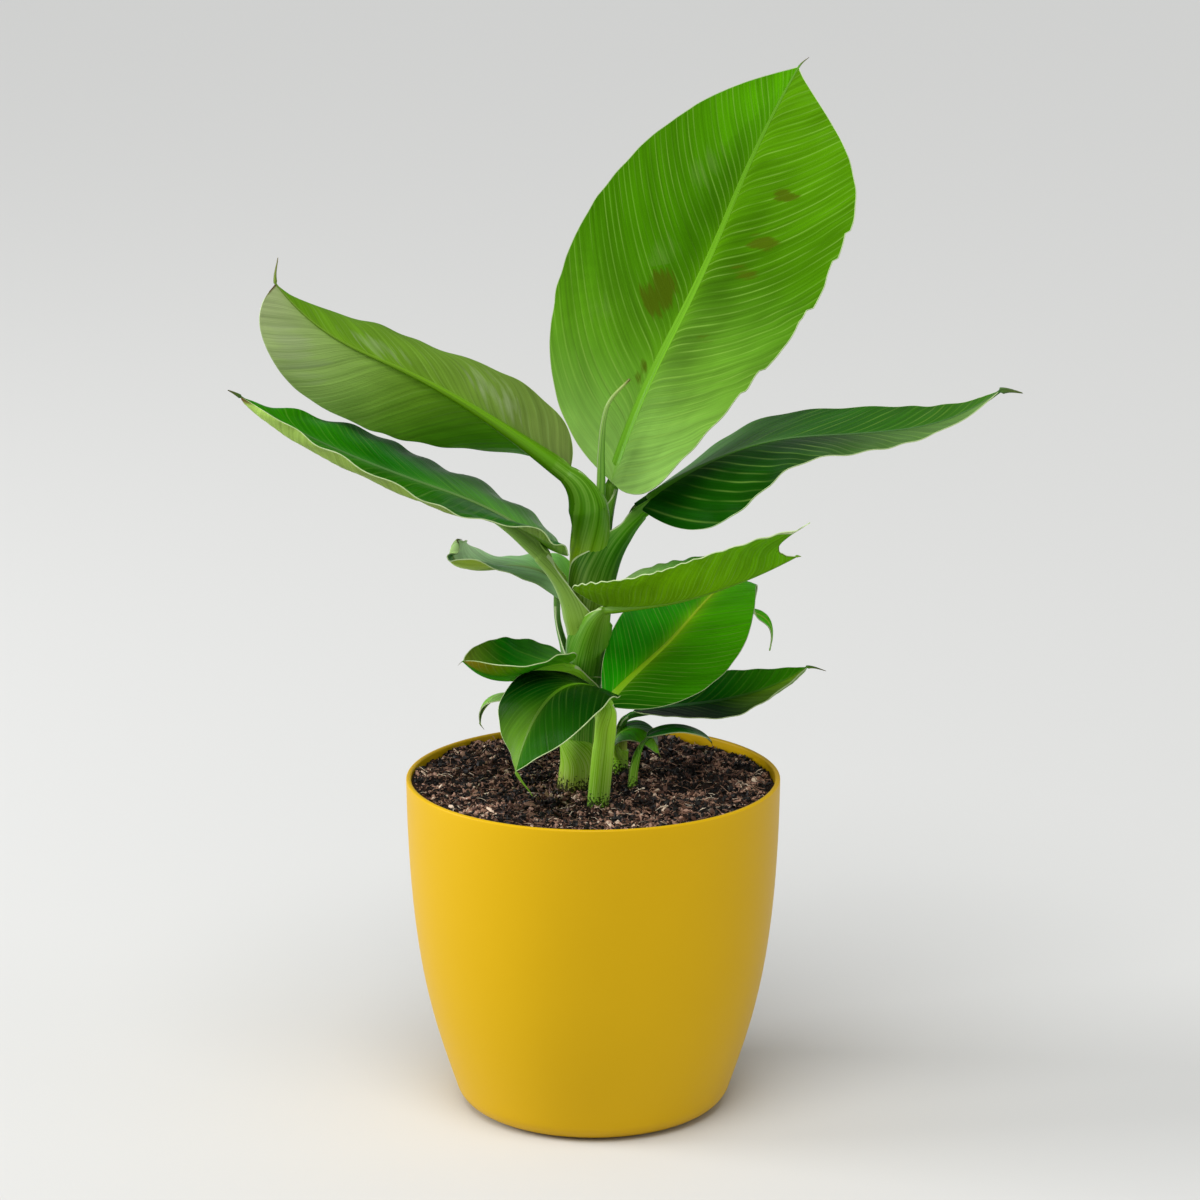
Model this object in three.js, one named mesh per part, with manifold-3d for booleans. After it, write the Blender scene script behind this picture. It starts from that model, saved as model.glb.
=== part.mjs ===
// A young dwarf banana plant in a plain round plastic pot, with three suckers beside its main stem.
// Millimetres, +Z up. The origin is the centre of the pot's flat underside.
import * as THREE from "three";
import { mergeVertices } from "three/addons/utils/BufferGeometryUtils.js";
import Module from "manifold-3d";

const wasm = await Module();
wasm.setup();

// ---- driving sizes ----
const GAP = 0.3; // clearance between neighbouring solids
const ROUND_SIDES = 32; // faces round the pot and the soil

// Above the pot's flat foot its heel is an arc of heelSweep degrees. The side goes on in line with
// the end of the heel, for about the length leaning, and is drawn out to the rim by its belly, a
// point given as radius and height.
const POT = {
  height: 200, rimRadius: 110, wall: 3,
  footRadius: 66.5, heelRadius: 16, heelSweep: 72, heelSteps: 3,
  leaning: 42.5, belly: [109, 87], sideSteps: 7,
};

// The soil's top stands at its level, is drawn up round each stem, and has two waves across it.
const SOIL = {
  level: 190, rings: 5, rimBand: 0.95,
  mound: 4, moundSpread: 45,
  swell: { height: 1.3, acrossX: 17, acrossY: 13 },
  ripple: { height: 0.8, across: 9 },
};

const BLADE = { thickness: 1.2, steps: 9, columns: 3, leastHalfWidth: 1.1 };
const STALK = { sides: 8, steps: 6, reach: 0.42, overlap: 4 };
const STEM_STEPS = 2; // rings between two points of a stem

// Each stem: points up its middle from its foot in the soil, and its radius at each point.
const STEMS = {
  main_stem: {
    sides: 16,
    points: [[-10.5, 2, 188], [-9.5, 1.5, 205], [-7, 1, 240], [-2.5, 0, 285], [-1.5, 0, 330], [-1, 0, 368]],
    radii: [11.6, 10.2, 11.5, 13.5, 13.2, 10],
  },
  front_sucker_stem: {
    sides: 12,
    points: [[2.3, -36, 188], [5.5, -36.5, 222], [8.5, -37, 251]],
    radii: [6.4, 6.4, 6],
  },
  rear_sucker_stem: {
    sides: 12,
    points: [[16.5, 33.5, 188], [16, 33, 205], [17, 32.5, 220]],
    radii: [4.6, 4.8, 3.6],
  },
  small_sucker_stem: {
    sides: 8,
    points: [[22.8, -4, 188], [24, -3.5, 205], [28, -2.8, 219]],
    radii: [3, 2.6, 2],
  },
};

// The newest leaf, still rolled, in the heart of the main stem.
const ROLLED_LEAF = {
  sides: 8,
  points: [[4, -5, 369.5], [4.5, -6, 395], [6, -6.5, 414], [10, -6.5, 426], [21, -6, 438]],
  radii: [3.4, 2.6, 2.1, 1.6, 0.9],
};

// Each leaf: the stem it grows from and the height where its stalk leaves that stem, the stalk's
// radius there and at the blade, the point where the blade begins, and the blade's length and half
// width. Along the blade, at even stations, rise is the rib's angle above level, turn its compass
// angle from +X towards +Y, and roll its turn about itself. Left and right are seen looking along
// the rib from above: shoulder and point say how full the outline is before and after its widest
// place, fold lifts that half from the rib, and curl bends it on towards its edge. Sweep pushes the
// edge forward. Tail is the length, rise and turn of the thread that the tip dries to, if it does.
const LEAVES = {
  top_leaf: {
    stem: "main_stem", leaves: 335, stalk: [8, 3.6], base: [10.5, 5, 375.5],
    length: 266, halfWidth: 76, rise: [71, 57, 64, 54], turn: [29, 32, 32], roll: [-31, -38, -35],
    left: { widest: 0.45, shoulder: 0.85, point: 1.1, fold: [13, 15, 10], curl: [3, 9] },
    right: { widest: 0.65, shoulder: 0.2, point: 1.3, fold: [29, 7, 2], curl: [18, -4] },
    sweep: [-0.2, 0.25], tail: [9, 40, 32],
  },
  upper_left_leaf: {
    stem: "main_stem", leaves: 330, stalk: [9, 4], base: [-14, -4.5, 383.5],
    length: 204, halfWidth: 45,
    rise: [36, 33, 24, 55], turn: [179, 187, 192, 202], roll: [-68, -93, -104],
    left: { widest: 0.48, shoulder: 0.6, point: 1.3, fold: [28, 45, 18], curl: [48, 47] },
    right: { widest: 0.37, shoulder: 0.65, point: 0.35, fold: [46, 18, 0], curl: [37, 5] },
    sweep: [-0.2, -0.05], tail: [17, 95, 202],
  },
  middle_left_leaf: {
    stem: "main_stem", leaves: 268, stalk: [8, 3.8], base: [-27, -10, 340],
    length: 200, halfWidth: 61, rise: [41, 22, 25, 36], turn: [186, 197, 192, 185], roll: [4, 14, 21],
    left: { widest: 0.45, shoulder: 0.4, point: 0.35, fold: [19, -4, 2], curl: [-1, 61] },
    right: { widest: 0.44, shoulder: 0.2, point: 1.3, fold: [12, 2, 13], curl: [-25, -14] },
    sweep: [-0.5, -0.4], tail: [9, 35, 185],
  },
  rear_left_leaf: {
    stem: "main_stem", leaves: 245, stalk: [5, 2.4], base: [-21.5, 27.5, 301],
    length: 92, halfWidth: 32, rise: [98, 16, -2, -15, 17, 153], turn: [154, 155, 163, 174], roll: [5, 1, 5],
    left: { widest: 0.49, shoulder: 0.5, point: 0.3, fold: [-9, 15, 4], curl: [0, 38] },
    right: { widest: 0.43, shoulder: 0.3, point: 0.5, fold: [9, 0, 22], curl: [-15, 0] },
    sweep: [0.4, 0.15], tail: [3, 170, 174],
  },
  right_leaf: {
    stem: "main_stem", leaves: 300, stalk: [9, 4.5], base: [24, 1, 363.5],
    length: 226, halfWidth: 58, rise: [36, 26, 3, 9, 42], turn: [343, 354, 350, 347], roll: [-4, 3, -1],
    left: { widest: 0.26, shoulder: 0.45, point: 1, fold: [-5, 9, 19], curl: [0, 0] },
    right: { widest: 0.32, shoulder: 0.6, point: 0.95, fold: [-35, 2, -6], curl: [-32, 5] },
    sweep: [0.2, -0.2], tail: [13, 5, 347],
  },
  front_right_leaf: {
    stem: "main_stem", leaves: 250, stalk: [7, 3.4], base: [7.5, -22.5, 307.5],
    length: 141, halfWidth: 43, rise: [6, 13, 22, 16, 100], turn: [323, 330, 333, 329], roll: [-1, 0, 0],
    left: { widest: 0.4, shoulder: 0.35, point: 0.7, fold: [34, 29, 35], curl: [-9, -8] },
    right: { widest: 0.36, shoulder: 0.2, point: 0.4, fold: [37, 36, 39], curl: [-9, -8] },
    sweep: [-0.3, 0.15], tail: [13, 22, 329],
  },
  lower_left_leaf: {
    stem: "main_stem", leaves: 230, stalk: [5, 2.8], base: [-15, -15, 272],
    length: 69, halfWidth: 30, rise: [3, -14, 13, 45], turn: [199, 207, 207, 205], roll: [-1, 6, 8],
    left: { widest: 0.44, shoulder: 0.4, point: 0.55, fold: [27, 25, 23], curl: [5, 21] },
    right: { widest: 0.46, shoulder: 0.35, point: 0.6, fold: [9, 21, 14], curl: [-3, 31] },
    sweep: [-0.3, 0.05], tail: [4, -25, 205],
  },
  rear_low_leaf: {
    stem: "main_stem", leaves: 212, stalk: [3.5, 1.8], base: [-19.5, 14, 235],
    length: 62, halfWidth: 16, rise: [46, 13, -26, -93], turn: [170, 173, 177], roll: [-2, -3, 1],
    left: { widest: 0.4, shoulder: 0.4, point: 1.2, fold: [20, -8, 14], curl: [-4, 10] },
    right: { widest: 0.4, shoulder: 0.4, point: 1.05, fold: [20, -15, 17], curl: [-7, 10] },
    sweep: [0.15, 0.2], tail: [4, -50, 350],
  },
  round_sucker_leaf: {
    stem: "front_sucker_stem", leaves: 225, stalk: [5, 3], base: [10.5, -34.5, 257],
    length: 220, halfWidth: 37,
    rise: [34, 18, 24, 7, -60, -81], turn: [43, 57, 63, 49], roll: [-55, -36, -25, -38],
    left: { widest: 0.37, shoulder: 0.55, point: 3.2, fold: [9, -30, 1], curl: [-14, -16] },
    right: { widest: 0.29, shoulder: 0.45, point: 3.5, fold: [0, 14, 13], curl: [-7, 3] },
    sweep: [0.2, 0.05],
  },
  hanging_sucker_leaf: {
    stem: "front_sucker_stem", leaves: 225, stalk: [5, 3], base: [9, -40, 259],
    length: 96, halfWidth: 40,
    rise: [43, 12, -30, -55, -74], turn: [216, 223, 228, 227], roll: [-1, -13, -28],
    left: { widest: 0.43, shoulder: 0.4, point: 1.05, fold: [3, -7, -7], curl: [-11, -19] },
    right: { widest: 0.41, shoulder: 0.4, point: 0.7, fold: [9, 4, -7], curl: [1, -14] },
    sweep: [0.25, 0.15], tail: [11, -40, 300],
  },
  long_sucker_leaf: {
    stem: "rear_sucker_stem", leaves: 204, stalk: [3.6, 2.4], base: [24, 30.5, 230.5],
    length: 108, halfWidth: 29, rise: [7, 3, 14, 32], turn: [4, 8, 11, 13], roll: [-5, -16, -18],
    left: { widest: 0.39, shoulder: 0.5, point: 0.9, fold: [5, 12, 8], curl: [-19, -6] },
    right: { widest: 0.43, shoulder: 0.45, point: 0.45, fold: [14, -3, 5], curl: [-9, 62] },
    sweep: [0.2, -0.1], tail: [12, -5, 5],
  },
  arched_sucker_leaf: {
    stem: "rear_sucker_stem", leaves: 196, stalk: [2.6, 1.6], base: [12.3, 25, 212.5],
    length: 40, halfWidth: 17, rise: [71, 23, -35, -83], turn: [338, 338, 338], roll: [-15, -1, 9],
    left: { widest: 0.44, shoulder: 0.4, point: 0.8, fold: [11, -9, -11], curl: [0, 0] },
    right: { widest: 0.46, shoulder: 0.4, point: 0.6, fold: [-5, -8, -3], curl: [0, 0] },
    sweep: [0.05, 0.05], tail: [4, -60, 345],
  },
  small_sucker_leaf: {
    stem: "small_sucker_stem", leaves: 208, stalk: [1.8, 1.3], base: [31.5, -2, 224],
    length: 44, halfWidth: 8.5, rise: [28, 1, -21, -45], turn: [20, 21, 22], roll: [0, -2, -7],
    left: { widest: 0.46, shoulder: 0.4, point: 0.55, fold: [2, -2, 13], curl: [0, 0] },
    right: { widest: 0.45, shoulder: 0.35, point: 0.6, fold: [0, -2, 4], curl: [0, 0] },
    sweep: [0.1, 0.1], tail: [3, -70, 22],
  },
};

const FINISH = {
  pot: { color: 0xdcb02a, roughness: 0.45 },
  soil: { color: 0x33231c, roughness: 0.95 },
  stem: { color: 0x86a83a, roughness: 0.5 },
  stalk: { color: 0x7ba62f, roughness: 0.5 },
  blade: { color: 0x3c8a1e, roughness: 0.4 },
};

// ---- small helpers ----
const radians = THREE.MathUtils.degToRad;
const vector = (p) => new THREE.Vector3(...p);

/** The value at share s of a list given at even stations. */
function station(list, s) {
  const place = Math.min(Math.max(s, 0), 1) * (list.length - 1);
  const i = Math.min(Math.floor(place), list.length - 2);
  return list[i] + (list[i + 1] - list[i]) * (place - i);
}

/** The unit vector at an angle above level and a compass angle, both in degrees. */
function heading(rise, turn) {
  const level = Math.cos(radians(rise));
  return new THREE.Vector3(
    level * Math.cos(radians(turn)), level * Math.sin(radians(turn)), Math.sin(radians(rise)));
}

/** A ring moved away from the next one by a distance. */
function movedOut(ring, next, distance) {
  const step = ring[0].clone().sub(next[0]).setLength(distance);
  return ring.map((p) => p.clone().add(step));
}

/** A closed geometry through rings of the same number of points, made longer at both ends. */
function loft(inner, longer) {
  const first = movedOut(inner[0], inner[1], longer);
  const end = movedOut(inner.at(-1), inner.at(-2), longer);
  const rings = [first, ...inner.slice(1, -1), end];
  const count = rings[0].length;
  const position = rings.flat().flatMap((p) => [p.x, p.y, p.z]);
  const index = [];
  for (let r = 0; r < rings.length - 1; r++) {
    for (let i = 0; i < count; i++) {
      const a = r * count + i;
      const b = r * count + (i + 1) % count;
      index.push(a, b, b + count, a, b + count, a + count);
    }
  }
  const last = (rings.length - 1) * count;
  for (let i = 1; i < count - 1; i++) {
    index.push(0, i + 1, i, last, last + i, last + i + 1);
  }
  const geometry = new THREE.BufferGeometry();
  geometry.setAttribute("position", new THREE.Float32BufferAttribute(position, 3));
  geometry.setIndex(index);
  return geometry;
}

/** Rings round a curve: radius(s) at each share s, with no twist from ring to ring. */
function tubeRings(curve, steps, sides, radius) {
  const rings = [];
  const side = new THREE.Vector3(1, 0, 0);
  for (let k = 0; k <= steps; k++) {
    const s = k / steps;
    const along = curve.getTangent(s);
    side.addScaledVector(along, -side.dot(along)).normalize();
    const other = new THREE.Vector3().crossVectors(along, side);
    const centre = curve.getPoint(s);
    rings.push(Array.from({ length: sides }, (_, i) => {
      const angle = (2 * Math.PI * i) / sides;
      return centre.clone()
        .addScaledVector(side, radius(s) * Math.cos(angle))
        .addScaledVector(other, radius(s) * Math.sin(angle));
    }));
  }
  return rings;
}

// ---- joining and cutting ----
/** A solid for joining and cutting, from a closed geometry whose faces point outwards. */
function solid(geometry) {
  geometry.deleteAttribute("normal");
  geometry.deleteAttribute("uv");
  const merged = mergeVertices(geometry, 1e-4);
  const mesh = new wasm.Mesh({
    numProp: 3,
    vertProperties: new Float32Array(merged.attributes.position.array),
    triVerts: new Uint32Array(merged.index.array),
  });
  return new wasm.Manifold(mesh);
}

/** The geometry of the largest body of a solid. */
function geometryOf(shape) {
  const bodies = shape.decompose();
  const largest = bodies.reduce((best, body) => (body.volume() > best.volume() ? body : best));
  const mesh = largest.getMesh();
  const geometry = new THREE.BufferGeometry();
  geometry.setAttribute("position", new THREE.Float32BufferAttribute(mesh.vertProperties, 3));
  geometry.setIndex([...mesh.triVerts]);
  return geometry;
}

// ---- pot and soil ----
/** The pot's heel, moved inwards by a distance, at an angle up from straight down. */
function heelPoint(angle, inwards) {
  const around = new THREE.Vector2(Math.sin(radians(angle)), -Math.cos(radians(angle)));
  const centre = new THREE.Vector2(POT.footRadius, POT.heelRadius);
  return centre.addScaledVector(around, POT.heelRadius - inwards);
}

/** The curve of the pot's side, as radius and height, from the heel up to the rim. */
const heelEnd = heelPoint(POT.heelSweep, 0);
const lean = new THREE.Vector2(Math.cos(radians(POT.heelSweep)), Math.sin(radians(POT.heelSweep)));
const side = new THREE.CubicBezierCurve(
  heelEnd,
  heelEnd.clone().addScaledVector(lean, POT.leaning),
  new THREE.Vector2(...POT.belly),
  new THREE.Vector2(POT.rimRadius, POT.height));

/** The pot's profile, moved inwards by a distance, from the axis out and up to the rim. */
function wallLine(inwards) {
  const line = [new THREE.Vector2(0, inwards)];
  for (let i = 0; i <= POT.heelSteps; i++) {
    line.push(heelPoint((i / POT.heelSteps) * POT.heelSweep, inwards));
  }
  for (let i = 1; i <= POT.sideSteps; i++) {
    const p = side.getPoint(i / POT.sideSteps);
    line.push(new THREE.Vector2(p.x - inwards, p.y));
  }
  return line;
}

function potGeometry() {
  const profile = [...wallLine(0), ...wallLine(POT.wall).reverse()];
  return new THREE.LatheGeometry(profile, ROUND_SIDES).rotateX(Math.PI / 2);
}

/** How far the soil's top stands above its level at a place. */
function soilRise(x, y) {
  const feet = Object.values(STEMS).map(({ points: [foot] }) => foot);
  const toStem = Math.min(...feet.map(([footX, footY]) => Math.hypot(x - footX, y - footY)));
  const { mound, moundSpread, swell, ripple } = SOIL;
  return mound * Math.exp(-((toStem / moundSpread) ** 2))
    + swell.height * Math.sin(x / swell.acrossX + 1) * Math.cos(y / swell.acrossY)
    + ripple.height * Math.sin((x + y) / ripple.across);
}

function soilGeometry() {
  const clearance = POT.wall + GAP;
  const profile = wallLine(clearance).filter((p) => p.y < SOIL.level - clearance);
  const edge = side.getPoints(200).find((p) => p.y >= SOIL.level).x - clearance;
  for (let i = SOIL.rings; i >= 0; i--) {
    profile.push(new THREE.Vector2((edge * i) / SOIL.rings, SOIL.level));
  }
  const geometry = new THREE.LatheGeometry(profile, ROUND_SIDES).rotateX(Math.PI / 2);
  const { position } = geometry.attributes;
  for (let i = 0; i < position.count; i++) {
    const [x, y, z] = [position.getX(i), position.getY(i), position.getZ(i)];
    const onTop = z > SOIL.level - clearance && Math.hypot(x, y) < edge * SOIL.rimBand;
    position.setZ(i, onTop ? z + soilRise(x, y) : z);
  }
  return geometry;
}

// ---- stems ----
const middleLine = (points) => new THREE.CatmullRomCurve3(points.map(vector), false, "catmullrom", 0.5);

/** A stem or the rolled leaf: one tapering limb, made bigger all over by a clearance. */
function limbGeometry({ points, radii, sides }, clearance = 0) {
  const steps = (points.length - 1) * STEM_STEPS;
  const radius = (s) => station(radii, s) + clearance;
  return loft(tubeRings(middleLine(points), steps, sides, radius), clearance);
}

/** The point and direction of a stem's middle at a height. */
function onStem({ points }, height) {
  const curve = middleLine(points);
  const steps = 200;
  const shares = Array.from({ length: steps + 1 }, (_, k) => k / steps);
  const share = shares.find((s) => curve.getPoint(s).z >= height);
  return { point: curve.getPoint(share), along: curve.getTangent(share) };
}

// ---- leaves ----
/** A leaf's stalk: it leaves its stem along the stem and bends into the line of the rib. */
function stalkGeometry(leaf, clearance = 0) {
  const { point, along } = onStem(STEMS[leaf.stem], leaf.leaves);
  const base = vector(leaf.base);
  const rib = heading(leaf.rise[0], leaf.turn[0]);
  const reach = STALK.reach * point.distanceTo(base);
  const end = base.clone().addScaledVector(rib, STALK.overlap);
  const curve = new THREE.CubicBezierCurve3(
    point,
    point.clone().addScaledVector(along, reach),
    base.clone().addScaledVector(rib, -reach),
    end);
  const radius = (s) => station(leaf.stalk, s) + clearance;
  return loft(tubeRings(curve, STALK.steps, STALK.sides, radius), clearance);
}

/** The share of the half width at share s of the blade, full at its widest place. */
function outline({ widest, shoulder, point }, s) {
  const share = s < widest
    ? (1 - ((widest - s) / widest) ** 2) ** shoulder
    : (1 - ((s - widest) / (1 - widest)) ** 2) ** point;
  return s <= 0 || s >= 1 ? 0 : share;
}

/** The blade's middle surface: rows of points from its left edge over the rib to its right edge. */
function bladeRows(leaf, clearance) {
  const rows = [];
  const middle = vector(leaf.base);
  const stepLength = leaf.length / BLADE.steps;
  for (let k = 0; k <= BLADE.steps; k++) {
    const s = k / BLADE.steps;
    rows.push(bladeRow(leaf, s, middle, clearance));
    const halfway = s + 0.5 / BLADE.steps;
    const along = heading(station(leaf.rise, halfway), station(leaf.turn, halfway));
    middle.addScaledVector(along, k < BLADE.steps ? stepLength : 0);
  }
  if (leaf.tail) {
    const [length, rise, turn] = leaf.tail;
    middle.addScaledVector(heading(rise, turn), length);
    rows.push(bladeRow(leaf, 1, middle, clearance));
  }
  return rows;
}

/** One row across the blade: each half is an arc that starts at its fold and goes on by its curl. */
function bladeRow(leaf, s, middle, clearance) {
  const along = heading(station(leaf.rise, s), station(leaf.turn, s));
  const turn = radians(station(leaf.turn, s));
  const flat = new THREE.Vector3(Math.sin(turn), -Math.cos(turn), 0);
  const upright = new THREE.Vector3().crossVectors(flat, along);
  const roll = radians(station(leaf.roll, s));
  const across = flat.clone().applyAxisAngle(along, roll);
  const lift = upright.clone().applyAxisAngle(along, roll);
  const row = [];
  for (let c = -BLADE.columns; c <= BLADE.columns; c++) {
    const half = c < 0 ? leaf.left : leaf.right;
    const v = Math.abs(c) / BLADE.columns;
    const width = Math.max(leaf.halfWidth * outline(half, s), BLADE.leastHalfWidth) + clearance;
    const fold = radians(station(half.fold, s));
    const curl = radians(station(half.curl, s)) || 1e-3;
    const out = (width * (Math.sin(fold + curl * v) - Math.sin(fold))) / curl;
    const up = (width * (Math.cos(fold) - Math.cos(fold + curl * v))) / curl;
    row.push(middle.clone()
      .addScaledVector(across, Math.sign(c) * out)
      .addScaledVector(lift, up)
      .addScaledVector(along, width * station(leaf.sweep, s) * v ** 1.5));
  }
  return row;
}

/** The blade as a thin closed sheet: its middle surface moved half a thickness each way. */
function bladeGeometry(leaf, clearance = 0) {
  const rows = bladeRows(leaf, clearance);
  const half = BLADE.thickness / 2 + clearance;
  const last = rows.length - 1;
  const rings = rows.map((row, r) => {
    const normals = row.map((_, i) => {
      const across = row[Math.min(i + 1, row.length - 1)].clone().sub(row[Math.max(i - 1, 0)]);
      const along = rows[Math.min(r + 1, last)][i].clone().sub(rows[Math.max(r - 1, 0)][i]);
      return across.cross(along).normalize();
    });
    const top = row.map((p, i) => p.clone().addScaledVector(normals[i], half));
    const bottom = row.map((p, i) => p.clone().addScaledVector(normals[i], -half));
    return [...top, ...bottom.reverse()];
  });
  return loft(rings, clearance);
}

// ---- assembly ----
const plant = new THREE.Group();
const clearances = []; // each limb and blade placed so far, grown by the gap

/** Adds a piece under its name, cut clear of the limbs and blades placed before it. */
function place(name, finish, geometry, grown) {
  const cut = clearances.reduce((left, other) => left.subtract(other), solid(geometry));
  const material = new THREE.MeshStandardMaterial({ ...FINISH[finish], metalness: 0 });
  const mesh = new THREE.Mesh(geometryOf(cut), material);
  mesh.name = name;
  plant.add(mesh);
  if (grown) {
    clearances.push(solid(grown));
  }
}

place("pot", "pot", potGeometry());
for (const [name, stem] of Object.entries(STEMS)) {
  place(name, "stem", limbGeometry(stem), limbGeometry(stem, GAP));
}
place("soil", "soil", soilGeometry());
place("rolled_leaf", "blade", limbGeometry(ROLLED_LEAF), limbGeometry(ROLLED_LEAF, GAP));
for (const [name, leaf] of Object.entries(LEAVES)) {
  place(`${name}_stalk`, "stalk", stalkGeometry(leaf), stalkGeometry(leaf, GAP));
}
for (const [name, leaf] of Object.entries(LEAVES)) {
  place(`${name}_blade`, "blade", bladeGeometry(leaf), bladeGeometry(leaf, GAP));
}

export default plant;
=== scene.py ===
# %% [markdown]
# # A young dwarf banana plant in a plain plastic pot
#
# A banana plant has no trunk. What looks like one is a roll of leaf sheaths, one inside the other.
# Each sheath is the foot of one leaf: it wraps the younger ones, narrows to a stalk that is hollow
# on top like a gutter, and runs on as the rib of a broad blade. This lesson builds every leaf that
# way, from the soil to the thread at its tip. Three suckers, a pot and its soil complete it.
#
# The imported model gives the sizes. Lengths here are in millimetres, as in the part's own source,
# and are turned to metres when a mesh is made.

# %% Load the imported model
import math

import bpy
import numpy as np
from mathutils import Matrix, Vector, noise


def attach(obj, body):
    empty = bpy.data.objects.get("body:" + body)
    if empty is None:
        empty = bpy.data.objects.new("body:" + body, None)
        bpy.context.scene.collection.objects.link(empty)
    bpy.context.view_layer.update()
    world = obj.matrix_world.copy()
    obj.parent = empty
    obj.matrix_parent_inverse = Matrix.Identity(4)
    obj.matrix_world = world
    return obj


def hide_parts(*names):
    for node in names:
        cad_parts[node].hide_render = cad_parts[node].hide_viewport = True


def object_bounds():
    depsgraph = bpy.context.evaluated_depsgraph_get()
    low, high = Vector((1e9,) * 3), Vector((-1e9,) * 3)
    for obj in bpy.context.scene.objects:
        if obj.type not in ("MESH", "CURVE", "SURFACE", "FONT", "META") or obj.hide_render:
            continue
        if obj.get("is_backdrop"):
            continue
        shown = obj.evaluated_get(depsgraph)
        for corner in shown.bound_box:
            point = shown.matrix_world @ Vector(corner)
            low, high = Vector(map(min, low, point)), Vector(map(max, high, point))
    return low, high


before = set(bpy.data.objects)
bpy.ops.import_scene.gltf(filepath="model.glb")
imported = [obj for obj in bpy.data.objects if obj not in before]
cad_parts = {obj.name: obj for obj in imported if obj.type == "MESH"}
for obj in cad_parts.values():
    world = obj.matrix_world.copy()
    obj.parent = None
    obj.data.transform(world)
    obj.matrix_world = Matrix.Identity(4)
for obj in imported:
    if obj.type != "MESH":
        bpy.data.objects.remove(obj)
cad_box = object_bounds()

MM = 0.001
print("nodes:", len(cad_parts), "box in mm:", [[round(v / MM, 1) for v in p] for p in cad_box])

# %% [markdown]
# ## Camera and light
#
# The object is seen from a little above, through a long lens, so that the pot's sides hardly draw
# together. Soft daylight comes from the left and from above: a wide sun for the soft shadows, a
# large panel on the left for the pale sheen on the pot, a weaker one on the right, and a bright
# sky all round. A pale floor closes the scene. Plain light shows the object's own colours.

# %% Camera, floor and light
scene = bpy.context.scene
scene.view_settings.view_transform = "Standard"


def linear(hex_colour):
    """An sRGB hex colour as linear red, green and blue, with full alpha."""
    shares = [int(hex_colour[i:i + 2], 16) / 255 for i in (1, 3, 5)]
    return (*[c / 12.92 if c <= 0.04045 else ((c + 0.055) / 1.055) ** 2.4 for c in shares], 1.0)


def aim(thing, place, target):
    """Puts a camera or light at a place, looking at a target, both in metres."""
    thing.location = place
    thing.rotation_euler = (Vector(target) - Vector(place)).to_track_quat("-Z", "Y").to_euler()


def add_light(name, kind, strength, place, target, colour="#ffffff", **sizes):
    """A light of one kind, aimed at a target, with its sizes as the light's own settings."""
    bpy.ops.object.light_add(type=kind)
    lamp = bpy.context.object
    lamp.name = name
    lamp.data.energy = strength
    lamp.data.color = linear(colour)[:3]
    for setting, value in sizes.items():
        setattr(lamp.data, setting, value)
    aim(lamp, place, target)


bpy.ops.object.camera_add(location=(0.004, -2.259, 0.869), rotation=(math.radians(76.01), 0, 0))
camera = bpy.context.object
camera.data.sensor_width = 36
camera.data.lens = 120
scene.camera = camera

add_light("window_sun", "SUN", 2.35, (-0.15, -0.85, 2.0), (0, 0, 0.3), angle=math.radians(40))
add_light("left_panel", "AREA", 84, (-3.2, -0.1, 1.3), (0, 0, 0.25), shape="RECTANGLE", size=1.5, size_y=1.5)
add_light("right_panel", "AREA", 13, (3.2, -0.9, 0.9), (0, 0, 0.25), shape="RECTANGLE", size=1.2, size_y=1.2)

world = bpy.data.worlds.new("soft_sky")
world.use_nodes = True
world.node_tree.nodes["Background"].inputs["Color"].default_value = linear("#f4f6f8")
world.node_tree.nodes["Background"].inputs["Strength"].default_value = 0.38
scene.world = world

# %% [markdown]
# ## Small helpers
#
# A material is a tree of nodes. One function adds a node, sets its properties and fills its
# sockets, either with a value or with a link from another node. Another starts a material and
# gives its Principled shader, the one that stands for most real surfaces.

# %% Node helpers
def add_node(tree, kind, settings={}, **sockets):
    """Adds a node. Each socket, its name in lower case with _ for spaces, takes a value or a link."""
    node = tree.nodes.new(kind)
    for setting, value in settings.items():
        setattr(node, setting, value)
    for name, value in sockets.items():
        if name.startswith("input_"):
            socket = node.inputs[int(name[6:])]
        else:
            socket = next(s for s in node.inputs if s.name.lower().replace(" ", "_") == name and s.enabled)
        if isinstance(value, bpy.types.NodeSocket):
            tree.links.new(value, socket)
        else:
            socket.default_value = value
    return node


def new_material(name):
    """An empty material: its node tree and its Principled shader."""
    material = bpy.data.materials.new(name)
    material.use_nodes = True
    return material, material.node_tree, material.node_tree.nodes["Principled BSDF"]


print("a colour in linear light:", [round(c, 3) for c in linear("#808080")])

# %% [markdown]
# Most of this plant is sheets and tubes that curve in two ways at once. A sheet starts as Blender's
# grid primitive, and each crossing of the grid is then moved to its place on the leaf, row by row.
# A tube is a grid whose last column meets its first: its doubles are merged and its ends filled.

# %% Mesh helpers
def deselect_all():
    """Leaves nothing selected: an operator acts on all that is."""
    bpy.ops.object.select_all(action="DESELECT")


def work_on(piece):
    """Makes a piece the only one selected."""
    deselect_all()
    piece.select_set(True)
    bpy.context.view_layer.objects.active = piece


def in_edit_mode(piece, *steps):
    """Runs edit-mode operators on the whole of a piece, one after the other."""
    work_on(piece)
    bpy.ops.object.mode_set(mode="EDIT")
    bpy.ops.mesh.select_all(action="SELECT")
    for step in steps:
        step()
    bpy.ops.object.mode_set(mode="OBJECT")


def merge_doubles():
    """Merges the selected vertices that lie in one place."""
    bpy.ops.mesh.remove_doubles(threshold=1e-6)


def face_outwards():
    """Turns all faces of the mesh to point out of it."""
    bpy.ops.mesh.select_all(action="SELECT")
    bpy.ops.mesh.normals_make_consistent(inside=False)


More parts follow.
